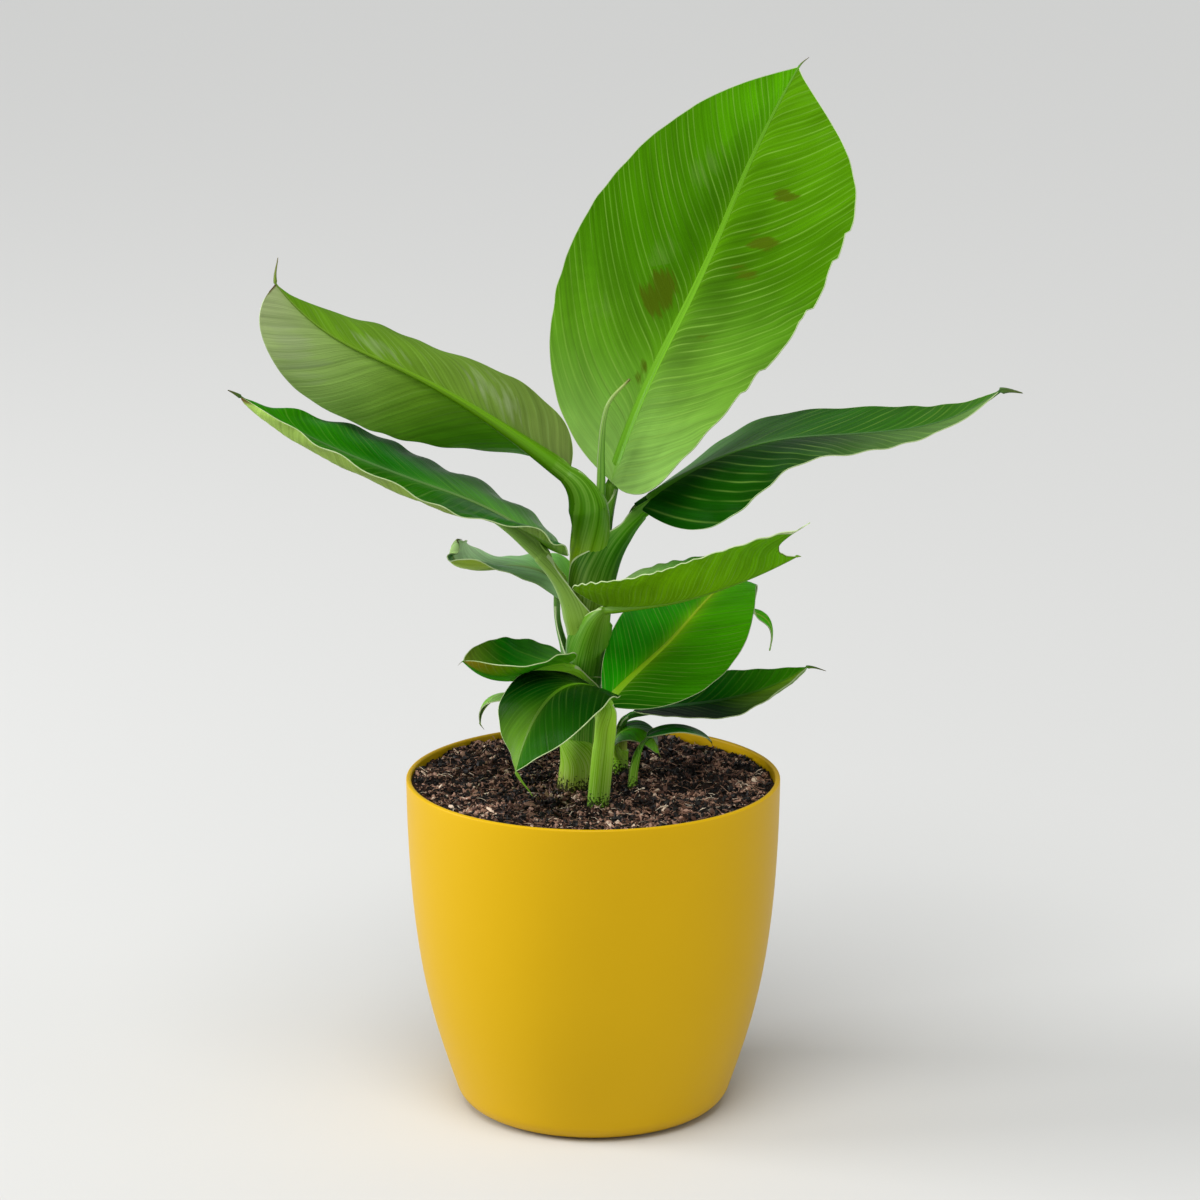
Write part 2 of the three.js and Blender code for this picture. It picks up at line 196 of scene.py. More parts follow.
def shaped_grid(name, points, chart):
    """A grid whose crossings lie at points[row, column], in mm. Chart gives each its UV, in mm too."""
    rows, columns = points.shape[:2]
    deselect_all()
    bpy.ops.mesh.primitive_grid_add(x_subdivisions=columns - 1, y_subdivisions=rows - 1)
    piece = bpy.context.object
    piece.name = name
    mesh = piece.data
    mesh.name = name
    mesh.vertices.foreach_set("co", (points * MM).astype(np.float32).ravel())
    corners = np.empty(len(mesh.loops), np.int32)
    mesh.loops.foreach_get("vertex_index", corners)
    places = (chart.reshape(-1, 2)[corners] * MM).astype(np.float32)
    mesh.uv_layers.active.data.foreach_set("uv", places.ravel())
    mesh.update()
    return piece


def give_values(piece, name, values):
    """Stores one number, or one linear colour, for each point of a piece."""
    values = np.asarray(values, np.float32)
    if values.ndim == 3:
        attribute = piece.data.attributes.new(name, "FLOAT_COLOR", "POINT")
        attribute.data.foreach_set("color", values.ravel())
    else:
        attribute = piece.data.attributes.new(name, "FLOAT", "POINT")
        attribute.data.foreach_set("value", values.ravel())


def apply_modifier(piece, kind, **settings):
    """Adds a modifier to a piece and applies it."""
    work_on(piece)
    modifier = piece.modifiers.new(kind.lower(), kind)
    for setting, value in settings.items():
        setattr(modifier, setting, value)
    bpy.ops.object.modifier_apply(modifier=modifier.name)


def give_materials(piece, materials):
    """Fills a piece's material slots, if they are still empty."""
    if not piece.data.materials:
        for material in materials:
            piece.data.materials.append(material)


def hand_over(piece, slot, materials, *nodes, sharp=40):
    """Finishes a piece: materials, smooth shading, its body and the nodes it stands for. Its slot is not
    used.
    """
    give_materials(piece, materials)
    work_on(piece)
    bpy.ops.object.shade_smooth_by_angle(angle=math.radians(sharp))
    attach(piece, "root")
    if nodes:
        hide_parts(*nodes)
    return piece


print("mesh helpers ready: sheets, tubes and the values that colour them")

# %% [markdown]
# ## The pot
#
# The pot is moulded polypropylene, dyed through in a warm yellow, with a silky surface that shows a
# broad, soft sheen and no grain. Its side leans out from a rounded heel and ends in a thin rim. A
# turned shape could be a lathed profile or a scaled cylinder; the profile gives the true curve of
# heel, side and rim. It is drawn by extruding one corner from point to point, and spun round.

# %% Pot profile
POT_HEIGHT = 200
RIM_RADIUS = 110
WALL = 3
FOOT_RADIUS = 66.5
HEEL_RADIUS = 16
HEEL_SWEEP = 72
SIDE_LEAN = 42.5
SIDE_BELLY = (109, 87)
RIM_ROUND = 1.3
RIM_SQUARENESS = 0.8
FOOT_RECESS = 0.8
FOOT_RING = 8
SPIN_STEPS = 180


def heel_point(angle, inwards):
    """The heel moved inwards, at an angle up from straight down, as radius and height."""
    reach = HEEL_RADIUS - inwards
    around = math.radians(angle)
    return np.array([FOOT_RADIUS + reach * math.sin(around), HEEL_RADIUS - reach * math.cos(around)])


def bezier(a, b, c, d, shares):
    """Points on a cubic curve."""
    t = np.asarray(shares, float)[:, None]
    a, b, c, d = (np.asarray(p, float) for p in (a, b, c, d))
    return (1 - t) ** 3 * a + 3 * (1 - t) ** 2 * t * b + 3 * (1 - t) * t * t * c + t ** 3 * d


lean = np.array([math.cos(math.radians(HEEL_SWEEP)), math.sin(math.radians(HEEL_SWEEP))])
heel_end = heel_point(HEEL_SWEEP, 0)
side = bezier(heel_end, heel_end + lean * SIDE_LEAN, SIDE_BELLY, (RIM_RADIUS, POT_HEIGHT),
              np.linspace(0, 1, 41))


def side_radius(height):
    """The outer radius of the pot's side at a height."""
    return np.interp(height, side[:, 1], side[:, 0])


def pot_profile():
    """Radius and height of the pot's outline: under the foot, up outside, over the rim, down inside."""
    recess = FOOT_RADIUS - FOOT_RING
    foot = [(0, FOOT_RECESS), (recess - 1, FOOT_RECESS), (recess, 0)]
    heel = [heel_point(a, 0) for a in np.linspace(0, HEEL_SWEEP, 13)]
    outside = [p for p in side[1:] if p[1] < POT_HEIGHT - RIM_ROUND]
    half = WALL / 2
    rim = []
    for a in np.linspace(0, math.pi, 13):
        # A squarish round: the moulded lip is a little flatter than half a circle.
        out = math.copysign(abs(math.cos(a)) ** RIM_SQUARENESS, math.cos(a)) * half
        up = RIM_ROUND * math.sin(a) ** RIM_SQUARENESS
        rim.append((RIM_RADIUS - half + out, POT_HEIGHT - RIM_ROUND + up))
    inside = [(p[0] - WALL, p[1]) for p in outside[::-1]]
    floor = [heel_point(a, WALL) for a in np.linspace(HEEL_SWEEP, 0, 7)] + [(0, WALL)]
    return [*foot, *heel, *outside, *rim, *inside, *floor]


profile = pot_profile()
print("pot profile:", len(profile), "points")

# %% Pot
deselect_all()
bpy.ops.mesh.primitive_plane_add(size=2 * MM)
pot = bpy.context.object
pot.name = "pot_shell"
pot.data.name = "pot_shell"
bpy.ops.object.mode_set(mode="EDIT")
bpy.ops.mesh.select_all(action="SELECT")
bpy.ops.mesh.merge(type="CENTER")
here = Vector((0, 0, 0))
start = Vector((profile[0][0], 0, profile[0][1])) * MM
bpy.ops.transform.translate(value=start - here)
here = start
for radius, height in profile[1:]:
    there = Vector((radius, 0, height)) * MM
    bpy.ops.mesh.extrude_region_move(TRANSFORM_OT_translate={"value": there - here})
    here = there
bpy.ops.mesh.select_all(action="SELECT")
bpy.ops.mesh.spin(steps=SPIN_STEPS, angle=2 * math.pi, center=(0, 0, 0), axis=(0, 0, 1))
bpy.ops.mesh.select_all(action="SELECT")
bpy.ops.mesh.remove_doubles(threshold=1e-6)
bpy.ops.mesh.normals_make_consistent(inside=False)
bpy.ops.object.mode_set(mode="OBJECT")

pot_plastic, tree, shader = new_material("moulded_polypropylene_yellow")
where = add_node(tree, "ShaderNodeTexCoord").outputs["Object"]
# A moulded skin is almost even: a very slow change of tone, and a fine orange peel 1.5 mm across.
tone = add_node(tree, "ShaderNodeTexNoise", vector=where, scale=9.0, detail=2.0)
colour = add_node(tree, "ShaderNodeMix", {"data_type": "RGBA"}, factor=tone.outputs["Fac"],
                  input_6=linear("#cca200"), input_7=linear("#d2a806"))
tree.links.new(colour.outputs[2], shader.inputs["Base Color"])
peel = add_node(tree, "ShaderNodeTexNoise", vector=where, scale=650.0, detail=1.0)
bump = add_node(tree, "ShaderNodeBump", strength=0.12, distance=0.0001, height=peel.outputs["Fac"])
tree.links.new(bump.outputs["Normal"], shader.inputs["Normal"])
shader.inputs["Roughness"].default_value = 0.42
shader.inputs["IOR"].default_value = 1.36
shader.inputs["Specular IOR Level"].default_value = 0.22
hand_over(pot, "pot_plastic", [pot_plastic], "pot", sharp=30)
print("pot:", len(pot.data.vertices), "points")

# %% [markdown]
# ## The soil
#
# Peaty potting soil is dark brown crumbs, most of them one to three millimetres across, with pale
# root threads and splinters of bark among them. A bumpy material alone looks flat at its edge, so
# the bed is a real relief, and thousands of small crumbs and fibres lie on it, joined to one piece
# of each kind. The bed is a round sheet: rings from its middle out, over its edge and down inside
# the pot.

# %% Height of the soil
SOIL_LEVEL = 190
SOIL_GAP = 3.3
SOIL_EDGE = side_radius(SOIL_LEVEL) - SOIL_GAP
SOIL_TOP = POT_HEIGHT - 1.2
MOUND_HEIGHT = 2.5
MOUND_WIDTH = 30
DISH_RADIUS = 48
DISH_SLOPE = 50
BANK_HEIGHT = 5.2
BANK_LEAN = 1.6
BANK_SIDE = math.radians(130)
# The places where the stems stand, as their measures give them below.
STEM_FEET = [(-10.5, 2), (2.3, -36), (16.5, 33.5), (22.8, -4)]


def soil_height(x, y):
    """The height of the soil's top at a place: its level, mounds at the stems, and clods."""
    to_stem = min(math.hypot(x - foot_x, y - foot_y) for foot_x, foot_y in STEM_FEET)
    mound = MOUND_HEIGHT * math.exp(-((to_stem / MOUND_WIDTH) ** 2))
    # Watering has washed a shallow dish round the stems: the soil stands higher along the wall.
    rise = float(np.clip((math.hypot(x, y) - DISH_RADIUS) / DISH_SLOPE, 0, 1))
    bank = BANK_HEIGHT + BANK_LEAN * math.cos(math.atan2(y, x) - BANK_SIDE)
    bank *= rise * rise * (3 - 2 * rise)
    swell = 1.2 * math.sin(x / 17 + 1) * math.cos(y / 13) + 0.9 * math.sin((x + y) / 9)
    # Clods of three sizes, about 11, 4 and 2 mm.
    place = Vector((x, y, 0))
    clods = 3.2 * noise.noise(place / 11) + 3.4 * abs(noise.noise(place / 4.2))
    clods += 1.3 * noise.noise(place / 1.8)
    return min(SOIL_LEVEL + mound + bank + swell + clods - 1, SOIL_TOP)


print("soil at the middle and at the wall:", round(soil_height(0, 0), 1), round(soil_height(SOIL_EDGE, 0), 1))

# %% Soil bed
# The bed's lowest ring is drawn in, so that it stays clear of the pot's round heel.
HEEL_SHARE = 0.8


def soil_bed():
    """A sheet of rings: over the soil's top, down the pot's inside and in along its heel."""
    around = np.linspace(0, 2 * math.pi, 361)
    radii = np.linspace(0, SOIL_EDGE, 101)
    rows = []
    for radius in radii:
        ring = [(radius * math.cos(a), radius * math.sin(a)) for a in around]
        rows.append([(x, y, soil_height(x, y)) for x, y in ring])
    for height in (SOIL_LEVEL - 4, 150, 90, 40, 20):
        wall = side_radius(height) - SOIL_GAP
        rows.append([(wall * math.cos(a), wall * math.sin(a), height) for a in around])
    points = np.array(rows)
    points[-1, :, :2] *= HEEL_SHARE
    bed = shaped_grid("soil_bed", points, points[:, :, :2])
    in_edit_mode(bed, merge_doubles, lambda: bpy.ops.mesh.fill_holes(sides=0), face_outwards)
    return bed


bed = soil_bed()
print("soil bed:", len(bed.data.polygons), "faces")


# %% Crumbs
def joined_copies(name, shape, places, material_of):
    """Many copies of one small mesh as one piece. Places holds their point arrays, in mm."""
    faces = np.array([list(face.vertices) for face in shape.polygons])
    count = len(places)
    size = faces.shape[1]
    points = np.asarray(places) * MM
    mesh = bpy.data.meshes.new(name)
    mesh.vertices.add(count * points.shape[1])
    mesh.vertices.foreach_set("co", points.astype(np.float32).ravel())
    corners = (faces[None] + (np.arange(count) * points.shape[1])[:, None, None]).reshape(-1, size)
    mesh.loops.add(corners.size)
    mesh.loops.foreach_set("vertex_index", corners.ravel().astype(np.int32))
    mesh.polygons.add(len(corners))
    mesh.polygons.foreach_set("loop_start", np.arange(0, corners.size, size, dtype=np.int32))
    mesh.polygons.foreach_set("material_index", np.repeat(material_of, len(faces)).astype(np.int32))
    mesh.update(calc_edges=True)
    mesh.validate()
    piece = bpy.data.objects.new(name, mesh)
    bpy.context.scene.collection.objects.link(piece)
    return piece


CRUMBS = 9600
FINE_CRUMBS = 15500
CRUMB_RADII = (0.25, 1.5)
rng = np.random.default_rng(7)


def scatter(count, reach):
    """Random places on the soil, evenly spread."""
    radius = reach * np.sqrt(rng.random(count))
    angle = rng.random(count) * 2 * math.pi
    return radius * np.cos(angle), radius * np.sin(angle)


def random_turns(count):
    """Random rotation matrices."""
    q = rng.normal(size=(count, 4))
    w, x, y, z = (q / np.linalg.norm(q, axis=1)[:, None]).T
    return np.array([
        [1 - 2 * (y * y + z * z), 2 * (x * y - z * w), 2 * (x * z + y * w)],
        [2 * (x * y + z * w), 1 - 2 * (x * x + z * z), 2 * (y * z - x * w)],
        [2 * (x * z - y * w), 2 * (y * z + x * w), 1 - 2 * (x * x + y * y)]]).transpose(2, 0, 1)


def crumb_piece(name, shape, count, size, spread, shares):
    """Crumbs of one kind all over the soil: their middle size in mm, its spread and the colours' shares."""
    ball = np.array([v.co for v in shape.vertices])
    x, y = scatter(count, SOIL_EDGE - 1.5)
    radius = np.exp(rng.normal(math.log(size), spread, count)).clip(*CRUMB_RADII)
    knobbly = ball[None] * (1 + rng.uniform(-0.3, 0.3, (count, len(ball), 1)))
    stretched = knobbly * rng.uniform(0.4, 1.2, (count, 1, 3)) * radius[:, None, None]
    stretched[:, :, 0] *= rng.uniform(1, 2.6, (count, 1))
    z = np.array([soil_height(*place) for place in zip(x, y)]) + radius * 0.3
    turned = np.einsum("nij,nkj->nki", random_turns(count), stretched)
    places = turned + np.stack([x, y, z], 1)[:, None]
    # Crumbs of one colour keep together, in clumps of about 8 mm and patches of 25 mm.
    spots = [Vector((a, b, 5)) for a, b in zip(x, y)]
    clump = np.array([noise.noise(spot / 5.5) + 0.7 * noise.noise(spot / 17) for spot in spots])
    luck = rng.normal(0, 0.26, count) + clump
    kinds = np.searchsorted(np.quantile(luck, np.cumsum(shares)[:-1]), luck)
    return joined_copies(name, shape, places, kinds)


deselect_all()
bpy.ops.mesh.primitive_ico_sphere_add(subdivisions=1, radius=1)
crumb = bpy.context.object
crumbs = crumb_piece("soil_crumbs", crumb.data, CRUMBS, 0.72, 0.5, [0.5, 0.32, 0.15, 0.03])
bpy.data.objects.remove(crumb)
deselect_all()
bpy.ops.mesh.primitive_cube_add(size=1.3)
grit = bpy.context.object
fine_crumbs = crumb_piece("soil_fine_crumbs", grit.data, FINE_CRUMBS, 0.46, 0.35, [0.5, 0.28, 0.19, 0.03])
bpy.data.objects.remove(grit)
print("crumbs:", len(crumbs.data.polygons), "faces; fine ones:", len(fine_crumbs.data.polygons), "faces")

# %% Fibres
FIBRES = 2600
FIBRE_LIFT = 0.7


def turned_about(points, angle, first, second):
    """Points of many small pieces, each piece turned by its own angle from the first axis to the second."""
    cos, sin = np.cos(angle)[:, None], np.sin(angle)[:, None]
    turned = points.copy()
    turned[..., first] = points[..., first] * cos - points[..., second] * sin
    turned[..., second] = points[..., first] * sin + points[..., second] * cos
    return turned


def fibre_piece(name, shape, count):
    """Bent splinters that lie about level all over the soil, a fifth of them pale."""
    stick = np.array([v.co for v in shape.vertices])
    x, y = scatter(count, SOIL_EDGE - 4)
    half_length = rng.uniform(0.8, 4.2, count)
    thickness = rng.uniform(0.12, 0.34, count)
    bend = rng.uniform(-0.35, 0.35, count) * half_length
    points = np.repeat(stick[None], count, 0)
    points[:, :, :2] *= thickness[:, None, None]
    points[:, :, 0] += (1 - stick[:, 2] ** 2)[None] * bend[:, None]
    points[:, :, 2] *= half_length[:, None]
    tilt = np.radians(rng.normal(90, 13, count))
    points = turned_about(points, -tilt, 0, 2)
    points = turned_about(points, rng.random(count) * 2 * math.pi, 0, 1)
    z = np.array([soil_height(*place) for place in zip(x, y)]) + FIBRE_LIFT
    points = points + np.stack([x, y, z], 1)[:, None]
    return joined_copies(name, shape, points, rng.choice(2, count, p=[0.8, 0.2]))


# A fibre is a three-sided splinter: a cone primitive with three corners, cut across once to bend.
deselect_all()
bpy.ops.mesh.primitive_cone_add(vertices=3, radius1=1, radius2=0.4, depth=2)
splinter = bpy.context.object
in_edit_mode(splinter, lambda: bpy.ops.mesh.subdivide(number_cuts=1),
             lambda: bpy.ops.mesh.quads_convert_to_tris())
fibres = fibre_piece("soil_fibres", splinter.data, FIBRES)
bpy.data.objects.remove(splinter)
print("fibres:", len(fibres.data.polygons), "faces")


# %% [markdown]
# Damp peat is a dark brown. The bed's colour runs from nearly black to a warm dark brown with the same noise
# that raises its bumps, so its hollows carry painted shade, along with darker patches of the peat at random.
# The bed is matt, and only crumbs and fibres glint a little. They are too small for a pattern of their own,
# so each gets one of a few plain colours.

# %% Soil materials
def plain_earth(name, hex_colour):
    """A plain colour for crumbs or fibres, with the faint glint of damp peat."""
    material, _, shader = new_material(name)
    shader.inputs["Base Color"].default_value = linear(hex_colour)
    shader.inputs["Roughness"].default_value = 0.55
    shader.inputs["Specular IOR Level"].default_value = 0.35
    return material


peat, tree, shader = new_material("damp_peat")
where = add_node(tree, "ShaderNodeTexCoord").outputs["Object"]
# Crumbs of about 2 mm, so 500 cells to the metre, over patches of 12 mm.
grain = add_node(tree, "ShaderNodeTexNoise", vector=where, scale=500.0, detail=4.0, roughness=0.7)
patch = add_node(tree, "ShaderNodeTexNoise", vector=where, scale=80.0, detail=2.0)
both = add_node(tree, "ShaderNodeMath", {"operation": "MULTIPLY"},
                input_0=grain.outputs["Fac"], input_1=patch.outputs["Fac"])
# Painted shade: the colour darkens where the grain is low, in the bumps' hollows, and in random patches.
ramp = add_node(tree, "ShaderNodeValToRGB", fac=both.outputs["Value"])
ramp.color_ramp.elements[0].position = 0.16
ramp.color_ramp.elements[0].color = linear("#060302")
ramp.color_ramp.elements[1].position = 0.42
ramp.color_ramp.elements[1].color = linear("#39251b")
tree.links.new(ramp.outputs["Color"], shader.inputs["Base Color"])
bump = add_node(tree, "ShaderNodeBump", strength=0.9, distance=0.0008, height=grain.outputs["Fac"])
tree.links.new(bump.outputs["Normal"], shader.inputs["Normal"])
shader.inputs["Roughness"].default_value = 0.92
shader.inputs["Specular IOR Level"].default_value = 0.25

hand_over(bed, "potting_soil", [peat], "soil", sharp=180)
crumb_colours = [plain_earth("peat_crumb_dark", "#0a0503"), plain_earth("peat_crumb_brown", "#543729"),
                 plain_earth("bark_crumb", "#a67f6a"), plain_earth("pale_wood_crumb", "#e4cab0")]
hand_over(crumbs, "potting_soil", crumb_colours, sharp=30)
hand_over(fine_crumbs, "potting_soil", crumb_colours, sharp=30)
fibre_colours = [plain_earth("peat_fibre", "#a07a64"), plain_earth("pale_root_fibre", "#ecd8be")]
hand_over(fibres, "potting_soil", fibre_colours, sharp=30)
print("soil pieces done")

# %% [markdown]
# ## The plant's measures
#
# Most of these are the part's own numbers, repeated from its source. Three leaves go further here:
# the round one narrows to a curled sickle, the front right one ends in a split tip, and the hanging
# one has a longer dry tail. A stem has points up its middle and a radius at each. A leaf has its
# base point, length and half width, and at even stations along its rib the rise above level, the
# compass turn and the roll. Each half of the blade has an outline, from how full it is before and
# after its widest place, a fold up from the rib, and a curl. Sweep is how far the margins reach
# forward at the base and at the tip, and a tail is a thread's length, rise and turn.

# %% Stems
STEMS = {
    "main_stem": {
        "points": [[-10.5, 2, 188], [-9.5, 1.5, 205], [-7, 1, 240], [-2.5, 0, 285], [-1.5, 0, 330],
                   [-1, 0, 368]],
        "radii": [11.6, 10.2, 11.5, 13.5, 13.2, 10],
    },
    "front_sucker_stem": {
        "points": [[2.3, -36, 188], [5.5, -36.5, 222], [8.5, -37, 251]],
        "radii": [6.4, 6.4, 6],
    },
    "rear_sucker_stem": {
        "points": [[16.5, 33.5, 188], [16, 33, 205], [17, 32.5, 220]],
        "radii": [4.6, 4.8, 3.6],
    },
    "small_sucker_stem": {
        "points": [[22.8, -4, 188], [24, -3.5, 205], [28, -2.8, 219]],
        "radii": [3, 2.6, 2],
    },
}

print({name: f"{stem['points'][-1][2] - SOIL_LEVEL} mm above the soil" for name, stem in STEMS.items()})

# %% Leaves
LEAVES = {
    "top_leaf": {
        "stem": "main_stem", "base": [10.5, 5, 375.5], "length": 266, "half_width": 76,
        "rise": [71, 57, 64, 54], "turn": [29, 32, 32], "roll": [-31, -38, -35],
        "left": {"widest": 0.45, "shoulder": 0.85, "point": 1.1, "fold": [13, 15, 10], "curl": [3, 9]},
        "right": {"widest": 0.65, "shoulder": 0.2, "point": 1.3, "fold": [29, 7, 2], "curl": [18, -4]},
        "sweep": [-0.2, 0.25], "tail": [9, 40, 32],
    },
    "upper_left_leaf": {
        "stem": "main_stem", "base": [-14, -4.5, 383.5], "length": 204, "half_width": 45,
        "rise": [36, 33, 24, 55], "turn": [179, 187, 192, 202], "roll": [-68, -93, -104],
        "left": {"widest": 0.48, "shoulder": 0.6, "point": 1.3, "fold": [28, 45, 18], "curl": [48, 47]},
        "right": {"widest": 0.37, "shoulder": 0.65, "point": 0.35, "fold": [46, 18, 0], "curl": [37, 5]},
        "sweep": [-0.2, -0.05], "tail": [17, 95, 202],
    },
    "middle_left_leaf": {
        "stem": "main_stem", "base": [-27, -10, 340], "length": 200, "half_width": 61,
        "rise": [41, 22, 25, 36], "turn": [186, 197, 192, 185], "roll": [4, 14, 21],
        "left": {"widest": 0.45, "shoulder": 0.4, "point": 0.35, "fold": [19, -4, 2], "curl": [-1, 61]},
        "right": {"widest": 0.44, "shoulder": 0.2, "point": 1.3, "fold": [12, 2, 13], "curl": [-25, -14]},
        "sweep": [-0.5, -0.4], "tail": [9, 35, 185],
    },
    "rear_left_leaf": {
        "stem": "main_stem", "base": [-20, 27.5, 300], "length": 92, "half_width": 32,
        "rise": [98, 16, -2, -15, 17, 153], "turn": [154, 155, 163, 174], "roll": [5, 1, 5],
        "left": {"widest": 0.49, "shoulder": 0.5, "point": 0.3, "fold": [-9, 15, 4], "curl": [0, 38]},
        "right": {"widest": 0.43, "shoulder": 0.3, "point": 0.5, "fold": [9, 0, 22], "curl": [-15, 0]},
        "sweep": [0.4, 0.15], "tail": [3, 170, 174],
    },
    "right_leaf": {
        "stem": "main_stem", "base": [24, 1, 363.5], "length": 226, "half_width": 58,
        "rise": [36, 26, 3, 9, 42], "turn": [343, 354, 350, 347], "roll": [-4, 3, -1],
        "left": {"widest": 0.26, "shoulder": 0.45, "point": 1, "fold": [-5, 9, 19], "curl": [0, 0]},
        "right": {"widest": 0.32, "shoulder": 0.6, "point": 0.95, "fold": [-35, 2, -6], "curl": [-32, 5]},
        "sweep": [0.2, -0.2], "tail": [13, 5, 347],
    },
    "front_right_leaf": {
        "stem": "main_stem", "base": [7.5, -22.5, 307.5], "length": 132.5, "half_width": 43,
        "rise": [6, 13, 22, 26, 32], "turn": [323, 330, 333, 329], "roll": [-1, 0, 0],
        "left": {"widest": 0.4, "shoulder": 0.35, "point": 1.5, "fold": [34, 29, 35], "curl": [-9, -8]},
        "right": {"widest": 0.36, "shoulder": 0.2, "point": 0.4, "fold": [37, 36, 46], "curl": [-9, -8]},
        "sweep": [-0.3, 0.15], "tail": [3, 10, 329],
    },
    "lower_left_leaf": {
        "stem": "main_stem", "base": [-15, -15, 272], "length": 69, "half_width": 30,
        "rise": [3, -14, 13, 45], "turn": [199, 207, 207, 205], "roll": [-1, 6, 8],
        "left": {"widest": 0.44, "shoulder": 0.4, "point": 0.55, "fold": [27, 25, 23], "curl": [5, 21]},
        "right": {"widest": 0.46, "shoulder": 0.35, "point": 0.6, "fold": [9, 21, 14], "curl": [-3, 31]},
        "sweep": [-0.3, 0.05], "tail": [4, -25, 205],
    },
    "rear_low_leaf": {
        "stem": "main_stem", "base": [-19.5, 14, 235], "length": 62, "half_width": 16,
        "rise": [46, 13, -26, -93], "turn": [170, 173, 177], "roll": [-2, -3, 1],
        "left": {"widest": 0.4, "shoulder": 0.4, "point": 1.2, "fold": [20, -8, 14], "curl": [-4, 10]},
        "right": {"widest": 0.4, "shoulder": 0.4, "point": 1.05, "fold": [20, -15, 17], "curl": [-7, 10]},
        "sweep": [0.15, 0.2], "tail": [4, -50, 350],
    },
    "round_sucker_leaf": {
        "stem": "front_sucker_stem", "base": [6.3, -35.5, 252.6], "length": 226, "half_width": 37,
        "rise": [34, 30, 26, 22, 18, 20, 21, 22, 24, 20, 16, 11, 7, 23, -51, -107, -43, 1, -8, -91, -150],
        "turn": [43, 45, 47, 49, 51, 54, 56, 57, 58, 59, 60, 61, 62, 54, 52, 79, 94, 62, 17, 30, 90],
        "roll": [-55, -48, -41, -35, -30, -26, -28, -80, -90],
        "left": {"widest": 0.385, "shoulder": 0.62, "point": 3.2, "fold": [9, -30, 1], "curl": [-14, -16]},
        "right": {"widest": 0.31, "shoulder": 0.55, "point": 3.5, "fold": [0, 14, 13], "curl": [-7, 3]},
        "sweep": [0.28, 0.05],
    },
    "hanging_sucker_leaf": {
        "stem": "front_sucker_stem", "base": [9, -40, 259], "length": 96, "half_width": 40,
        "rise": [43, 12, -30, -55, -74], "turn": [216, 223, 228, 227], "roll": [-1, -13, -28],
        "left": {"widest": 0.43, "shoulder": 0.4, "point": 1.05, "fold": [3, -7, -7], "curl": [-11, -19]},
        "right": {"widest": 0.41, "shoulder": 0.4, "point": 0.7, "fold": [9, 4, -7], "curl": [1, -14]},
        "sweep": [0.25, 0.15], "tail": [15, -50, 340],
    },
    "long_sucker_leaf": {
        "stem": "rear_sucker_stem", "base": [24, 30.5, 230.5], "length": 108, "half_width": 29,
        "rise": [7, 3, 14, 32], "turn": [4, 8, 11, 13], "roll": [-5, -16, -18],
        "left": {"widest": 0.39, "shoulder": 0.5, "point": 0.9, "fold": [5, 12, 8], "curl": [-19, -6]},
        "right": {"widest": 0.43, "shoulder": 0.45, "point": 0.45, "fold": [14, -3, 5], "curl": [-9, 62]},
        "sweep": [0.2, -0.1], "tail": [12, -5, 5],
    },
    "arched_sucker_leaf": {
        "stem": "rear_sucker_stem", "base": [12.3, 25, 212.5], "length": 40, "half_width": 17,
        "rise": [71, 23, -35, -83], "turn": [338, 338, 338], "roll": [-15, -1, 9],
        "left": {"widest": 0.44, "shoulder": 0.4, "point": 0.8, "fold": [11, -9, -11], "curl": [0, 0]},
        "right": {"widest": 0.46, "shoulder": 0.4, "point": 0.6, "fold": [-5, -8, -3], "curl": [0, 0]},
        "sweep": [0.05, 0.05], "tail": [4, -60, 345],
    },
    "small_sucker_leaf": {
        "stem": "small_sucker_stem", "base": [31.5, -2, 224], "length": 44, "half_width": 8.5,
        "rise": [28, 1, -21, -45], "turn": [20, 21, 22], "roll": [0, -2, -7],
        "left": {"widest": 0.46, "shoulder": 0.4, "point": 0.55, "fold": [2, -2, 13], "curl": [0, 0]},
        "right": {"widest": 0.45, "shoulder": 0.35, "point": 0.6, "fold": [0, -2, 4], "curl": [0, 0]},
        "sweep": [0.1, 0.1], "tail": [3, -70, 22],
    },
}
print(len(LEAVES), "leaves, the longest blade", max(leaf["length"] for leaf in LEAVES.values()), "mm")

# %% [markdown]
# How each leaf's foot lies on its stem is given here: the height where its middle leaves the stem,
# how stiffly it leaves and arrives, its radius a third and two thirds of the way up and at the
# blade, how far it wraps round at even stations, in degrees each way from its back, and the height
# above which it no longer lies round the stem. Taper is how the rib thins towards the tip, where it
# isn't the usual way. The list goes from the oldest, outermost sheath to the youngest.

